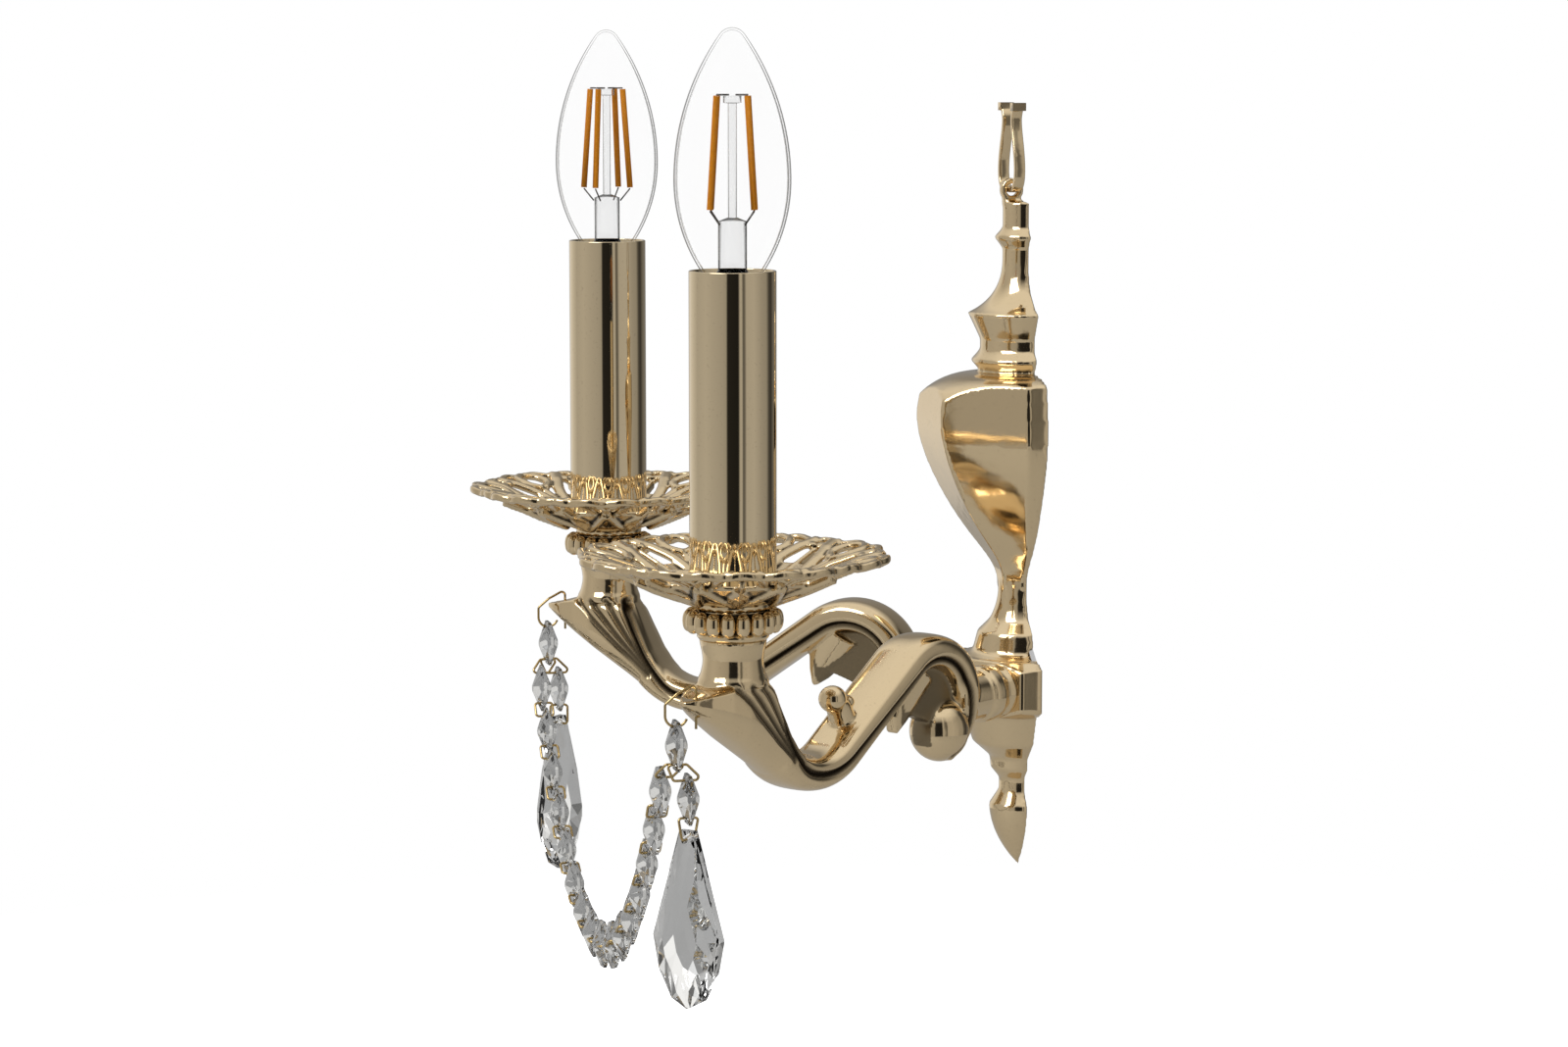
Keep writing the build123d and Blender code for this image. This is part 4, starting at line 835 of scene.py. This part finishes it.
def beadRingTree():
    tree = bpy.data.node_groups.new("beadRing", "GeometryNodeTree")
    tree.interface.new_socket("Geometry", in_out="INPUT", socket_type="NodeSocketGeometry")
    for label, kind in (("Count", "Int"), ("Ring", "Float"), ("Bead", "Float"), ("Height", "Float"),
                        ("Place", "Vector"), ("Finish", "Material")):
        tree.interface.new_socket(label, in_out="INPUT", socket_type="NodeSocket" + kind)
    tree.interface.new_socket("Geometry", in_out="OUTPUT", socket_type="NodeSocketGeometry")
    make, link = tree.nodes.new, tree.links.new
    start, end = make("NodeGroupInput"), make("NodeGroupOutput")
    circle = make("GeometryNodeMeshCircle")
    barrel = make("GeometryNodeMeshCylinder")
    barrel.inputs["Vertices"].default_value = collar["corners"]
    soft = make("GeometryNodeSubdivisionSurface")
    soft.inputs["Level"].default_value = collar["soften"]
    copies, move = make("GeometryNodeInstanceOnPoints"), make("GeometryNodeTransform")
    smooth = make("GeometryNodeSetShadeSmooth")
    real, paint = make("GeometryNodeRealizeInstances"), make("GeometryNodeSetMaterial")
    link(start.outputs["Count"], circle.inputs["Vertices"])
    link(start.outputs["Ring"], circle.inputs["Radius"])
    link(start.outputs["Bead"], barrel.inputs["Radius"])
    link(start.outputs["Height"], barrel.inputs["Depth"])
    link(circle.outputs["Mesh"], copies.inputs["Points"])
    link(barrel.outputs["Mesh"], soft.inputs["Mesh"])
    link(soft.outputs["Mesh"], copies.inputs["Instance"])
    link(copies.outputs["Instances"], move.inputs["Geometry"])
    link(start.outputs["Place"], move.inputs["Translation"])
    link(move.outputs["Geometry"], smooth.inputs["Geometry"])
    link(smooth.outputs["Geometry"], real.inputs["Geometry"])
    link(real.outputs["Geometry"], paint.inputs["Geometry"])
    link(start.outputs["Finish"], paint.inputs["Material"])
    link(paint.outputs["Geometry"], end.inputs["Geometry"])
    return tree


def fromNodes(name, tree, values):
    holder = placed(name + ".nodes", bpy.data.meshes.new(name + ".empty"))
    modifier = holder.modifiers.new("nodes", "NODES")
    modifier.node_group = tree
    for socket in tree.interface.items_tree:
        if socket.in_out == "INPUT" and socket.name in values:
            modifier[socket.identifier] = values[socket.name]
    mesh = finalMesh(holder)
    holder.modifiers.remove(modifier)
    bpy.data.objects.remove(holder)
    return placed(name, mesh)


beadTree = beadRingTree()
for name, side in sides.items():
    verts, faces = latheRing(collar["core"])
    gaps = (verts[:, 2] > collar["gapFrom"]) & (verts[:, 2] < collar["gapTo"])
    # the core between the beads is darkened with painted shade and tarnish
    dark = gaps * collar["gapStainShade"]  # between the beads
    core = addPiece("collarCore_" + name, onCandle(verts, side), faces, castBrass, dark, side < 0)
    standFor(core, "beaded_collar_" + name)
    beads = fromNodes("collarBeads_" + name, beadTree, {
        "Count": collar["beads"], "Ring": collar["ring"], "Bead": collar["bead"], "Height": collar["height"],
        "Place": (side * candleX * mm, candleY * mm, collar["middle"]), "Finish": castBrass})
    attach(beads, "fixture")
print("collars")


# candle sleeves: thin polished tubes with softly rounded rims
sleeve = {"outer": 13.1, "inner": 12.3, "foot": 47.2, "belt": 30, "top": 143.2, "round": 0.25, "ease": 0.3,
          "sharp": 50}
for name, side in sides.items():
    o, i, f, t, k = (sleeve[key] for key in ("outer", "inner", "foot", "top", "round"))
    e = sleeve["ease"] * k
    outline = [(i, f), (o, f), (o, f + sleeve["belt"]), (o, t - k), (o - e, t - e), (o - k, t),
               (i + k, t), (i + e, t - e), (i, t - k)]
    verts, faces = latheRing(outline, 160)
    tube = addPiece("sleeve_" + name, onCandle(verts, side), faces, polishedBrass, flip=side < 0)
    tube.data.set_sharp_from_angle(angle=math.radians(sleeve["sharp"]))
    standFor(tube, "candle_sleeve_" + name)
print("sleeves")


# wall plate: the casting with its edges softened by polishing
plate = {"voxel": 0.72, "polish": 3, "hollowFrom": 0.05, "hollowTo": 0.2, "stainShadeMost": 0.8}
plateMesh = mergedMesh("backplate")
plateVerts = np.empty(len(plateMesh.vertices) * 3)
plateMesh.vertices.foreach_get("co", plateVerts)
plateFaces = [tuple(p.vertices) for p in plateMesh.polygons]
plateVerts, plateFaces = fuse([(plateVerts.reshape(-1, 3) / mm, plateFaces)], plate["voxel"])
platePairs = edgePairs(plateFaces)
plateVerts = relax(plateVerts, platePairs, plate["polish"])
plateVerts[:, 1] = np.minimum(plateVerts[:, 1], 0)
# the plate's hollows are darkened with tarnish and painted shade
plateLift = hollows(plateVerts, plateFaces, platePairs, 2)
plateStainAndShade = np.clip(step(plate["hollowFrom"], plate["hollowTo"], plateLift), 0, plate["stainShadeMost"])
backplate = addPiece("wallPlate", plateVerts * mm, plateFaces, castBrass, plateStainAndShade)
standFor(backplate, "backplate")
print("wall plate", len(plateFaces))


# cut drops: kite facets between the girdle and a smaller table on both faces
# the corners are shares of the half width and of the length
drop = {"length": 54.5, "half": 12.0, "top": 2.5, "corners": [(1, 0.6), (0.83, 0.79), (0.46, 0.945)],
        "thick": 11.0, "girdle": 2.4, "table": 0.5, "middle": 0.8, "swell": 0.56, "turn": 45.0,
        "holeDown": 2.6, "holeRadius": 1.1, "holeReach": 10}


def dropMesh():
    h, l = drop["half"], drop["length"]
    right = [(drop["top"], 0)] + [(wide * h, -down * l) for wide, down in drop["corners"]]
    outline = np.array(right + [(0, -l)] + [(-x, z) for x, z in reversed(right)])
    middle = (outline + np.roll(outline, -1, axis=0)) / 2
    heart = np.array([0, -drop["corners"][0][1] * l])
    edge, face = drop["girdle"] / 2, drop["thick"] / 2
    layers = [(outline, 1, edge), (middle, drop["middle"], edge + (face - edge) * drop["swell"]),
              (outline, drop["table"], face)]
    count = len(outline)
    verts, faces = [], []
    for hand in (-1, 1):
        base = len(verts)
        for points, share, depth in layers:
            verts += [(x, hand * depth, z) for x, z in heart + share * (points - heart)]
        g, m, t = base, base + count, base + 2 * count
        cut = []
        for i in range(count):
            k = (i + 1) % count
            cut += [(g + i, g + k, m + i), (g + k, m + k, t + k), (g + k, t + k, m + i),
                    (t + i, m + i, t + k)]
        cut.append(tuple(t + i for i in range(count)))
        faces += cut if hand > 0 else [f[::-1] for f in cut]
    for i in range(count):
        k = (i + 1) % count
        faces.append((i, k, 3 * count + k, 3 * count + i))
    return np.array(verts), faces


def bored(verts, faces):
    mesh = bpy.data.meshes.new("solidDrop")
    mesh.from_pydata(verts.tolist(), [], faces)
    solid = placed("solidDrop", mesh)
    radius, reach = drop["holeRadius"], drop["holeReach"]
    holeVerts, holeFaces = lathe([(radius, -reach), (radius, reach)], 24)
    holeMesh = bpy.data.meshes.new("dropHole")
    holeMesh.from_pydata([(x, -z, y - drop["holeDown"]) for x, y, z in holeVerts], [], holeFaces)
    hole = placed("dropHole", holeMesh)
    away = solid.modifiers.new("hole", "BOOLEAN")
    away.operation = "DIFFERENCE"
    away.object = hole
    done = finalMesh(solid)
    out = np.array([v.co[:] for v in done.vertices])
    outFaces = [tuple(p.vertices) for p in done.polygons]
    for obj in (solid, hole):
        bpy.data.objects.remove(obj)
    return out, outFaces


dropVerts, dropFaces = bored(*dropMesh())
low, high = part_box("drop_right")
dropX, dropY = (low[0] + high[0]) / 2, (low[1] + high[1]) / 2
c, n = math.cos(math.radians(drop["turn"])), math.sin(math.radians(drop["turn"]))
x, y, z = dropVerts.T * mm
hung = np.stack([c * x - n * y + dropX, n * x + c * y + dropY, z + high[2]], axis=1)
for name, side in sides.items():
    piece = addPiece("cutDrop_" + name, hung * (side, 1, 1), dropFaces, crystal, flip=side < 0)
    piece.data.polygons.foreach_set("use_smooth", [False] * len(dropFaces))
    standFor(piece, "drop_" + name)
print("drops", len(dropFaces))


# octagon beads: the bevels are cut on to a smaller table and a thinner girdle,
# so the beads look pointed from the side
bead = {"flats": 15.0, "half": 3.2, "tableFrom": 3.1, "tableShare": 0.45, "table": 0.16, "girdle": 0.45}


def cutBeads(node):
    mesh = mergedMesh(node)
    work = bmesh.new()
    work.from_mesh(mesh)
    work.verts.index_update()
    left = set(work.verts)
    while left:  # one bead at a time
        held, queue = set(), [left.pop()]
        while queue:
            v = queue.pop()
            held.add(v)
            near = {e.other_vert(v) for e in v.link_edges} & left
            left -= near
            queue += near
        held = sorted(held, key=lambda v: v.index)  # a fixed order, so each run cuts alike
        corners = np.array([v.co[:] for v in held]) / mm
        middle = (corners.min(axis=0) + corners.max(axis=0)) / 2
        x, y, z = (corners - middle).T
        tip = np.argmax(np.hypot(x, z))
        flats = math.atan2(z[tip], x[tip]) + np.radians(22.5 + 45 * np.arange(8))
        out = (x[:, None] * np.cos(flats) + z[:, None] * np.sin(flats)).max(axis=1) / (bead["flats"] / 2)
        onTable = np.abs(y) > bead["tableFrom"]
        share = np.where(onTable, bead["tableShare"], 1.0)
        fall = (out - bead["table"]) / (1 - bead["table"]) * (bead["half"] - bead["girdle"])
        deep = np.where(onTable, np.abs(y), bead["half"] - fall)
        cut = middle + np.stack([x * share, np.sign(y) * deep, z * share], axis=1)
        for v, place in zip(held, cut * mm):
            v.co = place
    work.to_mesh(mesh)
    work.free()
    mesh.polygons.foreach_set("use_smooth", [False] * len(mesh.polygons))
    mesh.materials.append(beadCrystal)
    standFor(placed(node + ".cut", mesh), node)


for node in ("swag_beads", "tip_bead_right", "tip_bead_left", "strand_bead_right", "strand_bead_left"):
    cutBeads(node)
print("beads")


# small round pieces keep their shape and get smooth faces
roundPieces = {"bulb_glass": bulbGlass, "bulb_stem": stemGlass, "filaments": amber,
               "filament_wires": darkWire, "bulb_cap": plated, "lampholder": darkPlastic,
               "holder_shell": polishedBrass, "crystal_hook": pinWire, "strand_pin": pinWire}
smoothCopy("hanging_link", castBrass)
smoothCopy("swag_pins", pinWire)
for name in sides:
    for node, finish in roundPieces.items():
        smoothCopy(node + "_" + name, finish)
print("smooth copies")
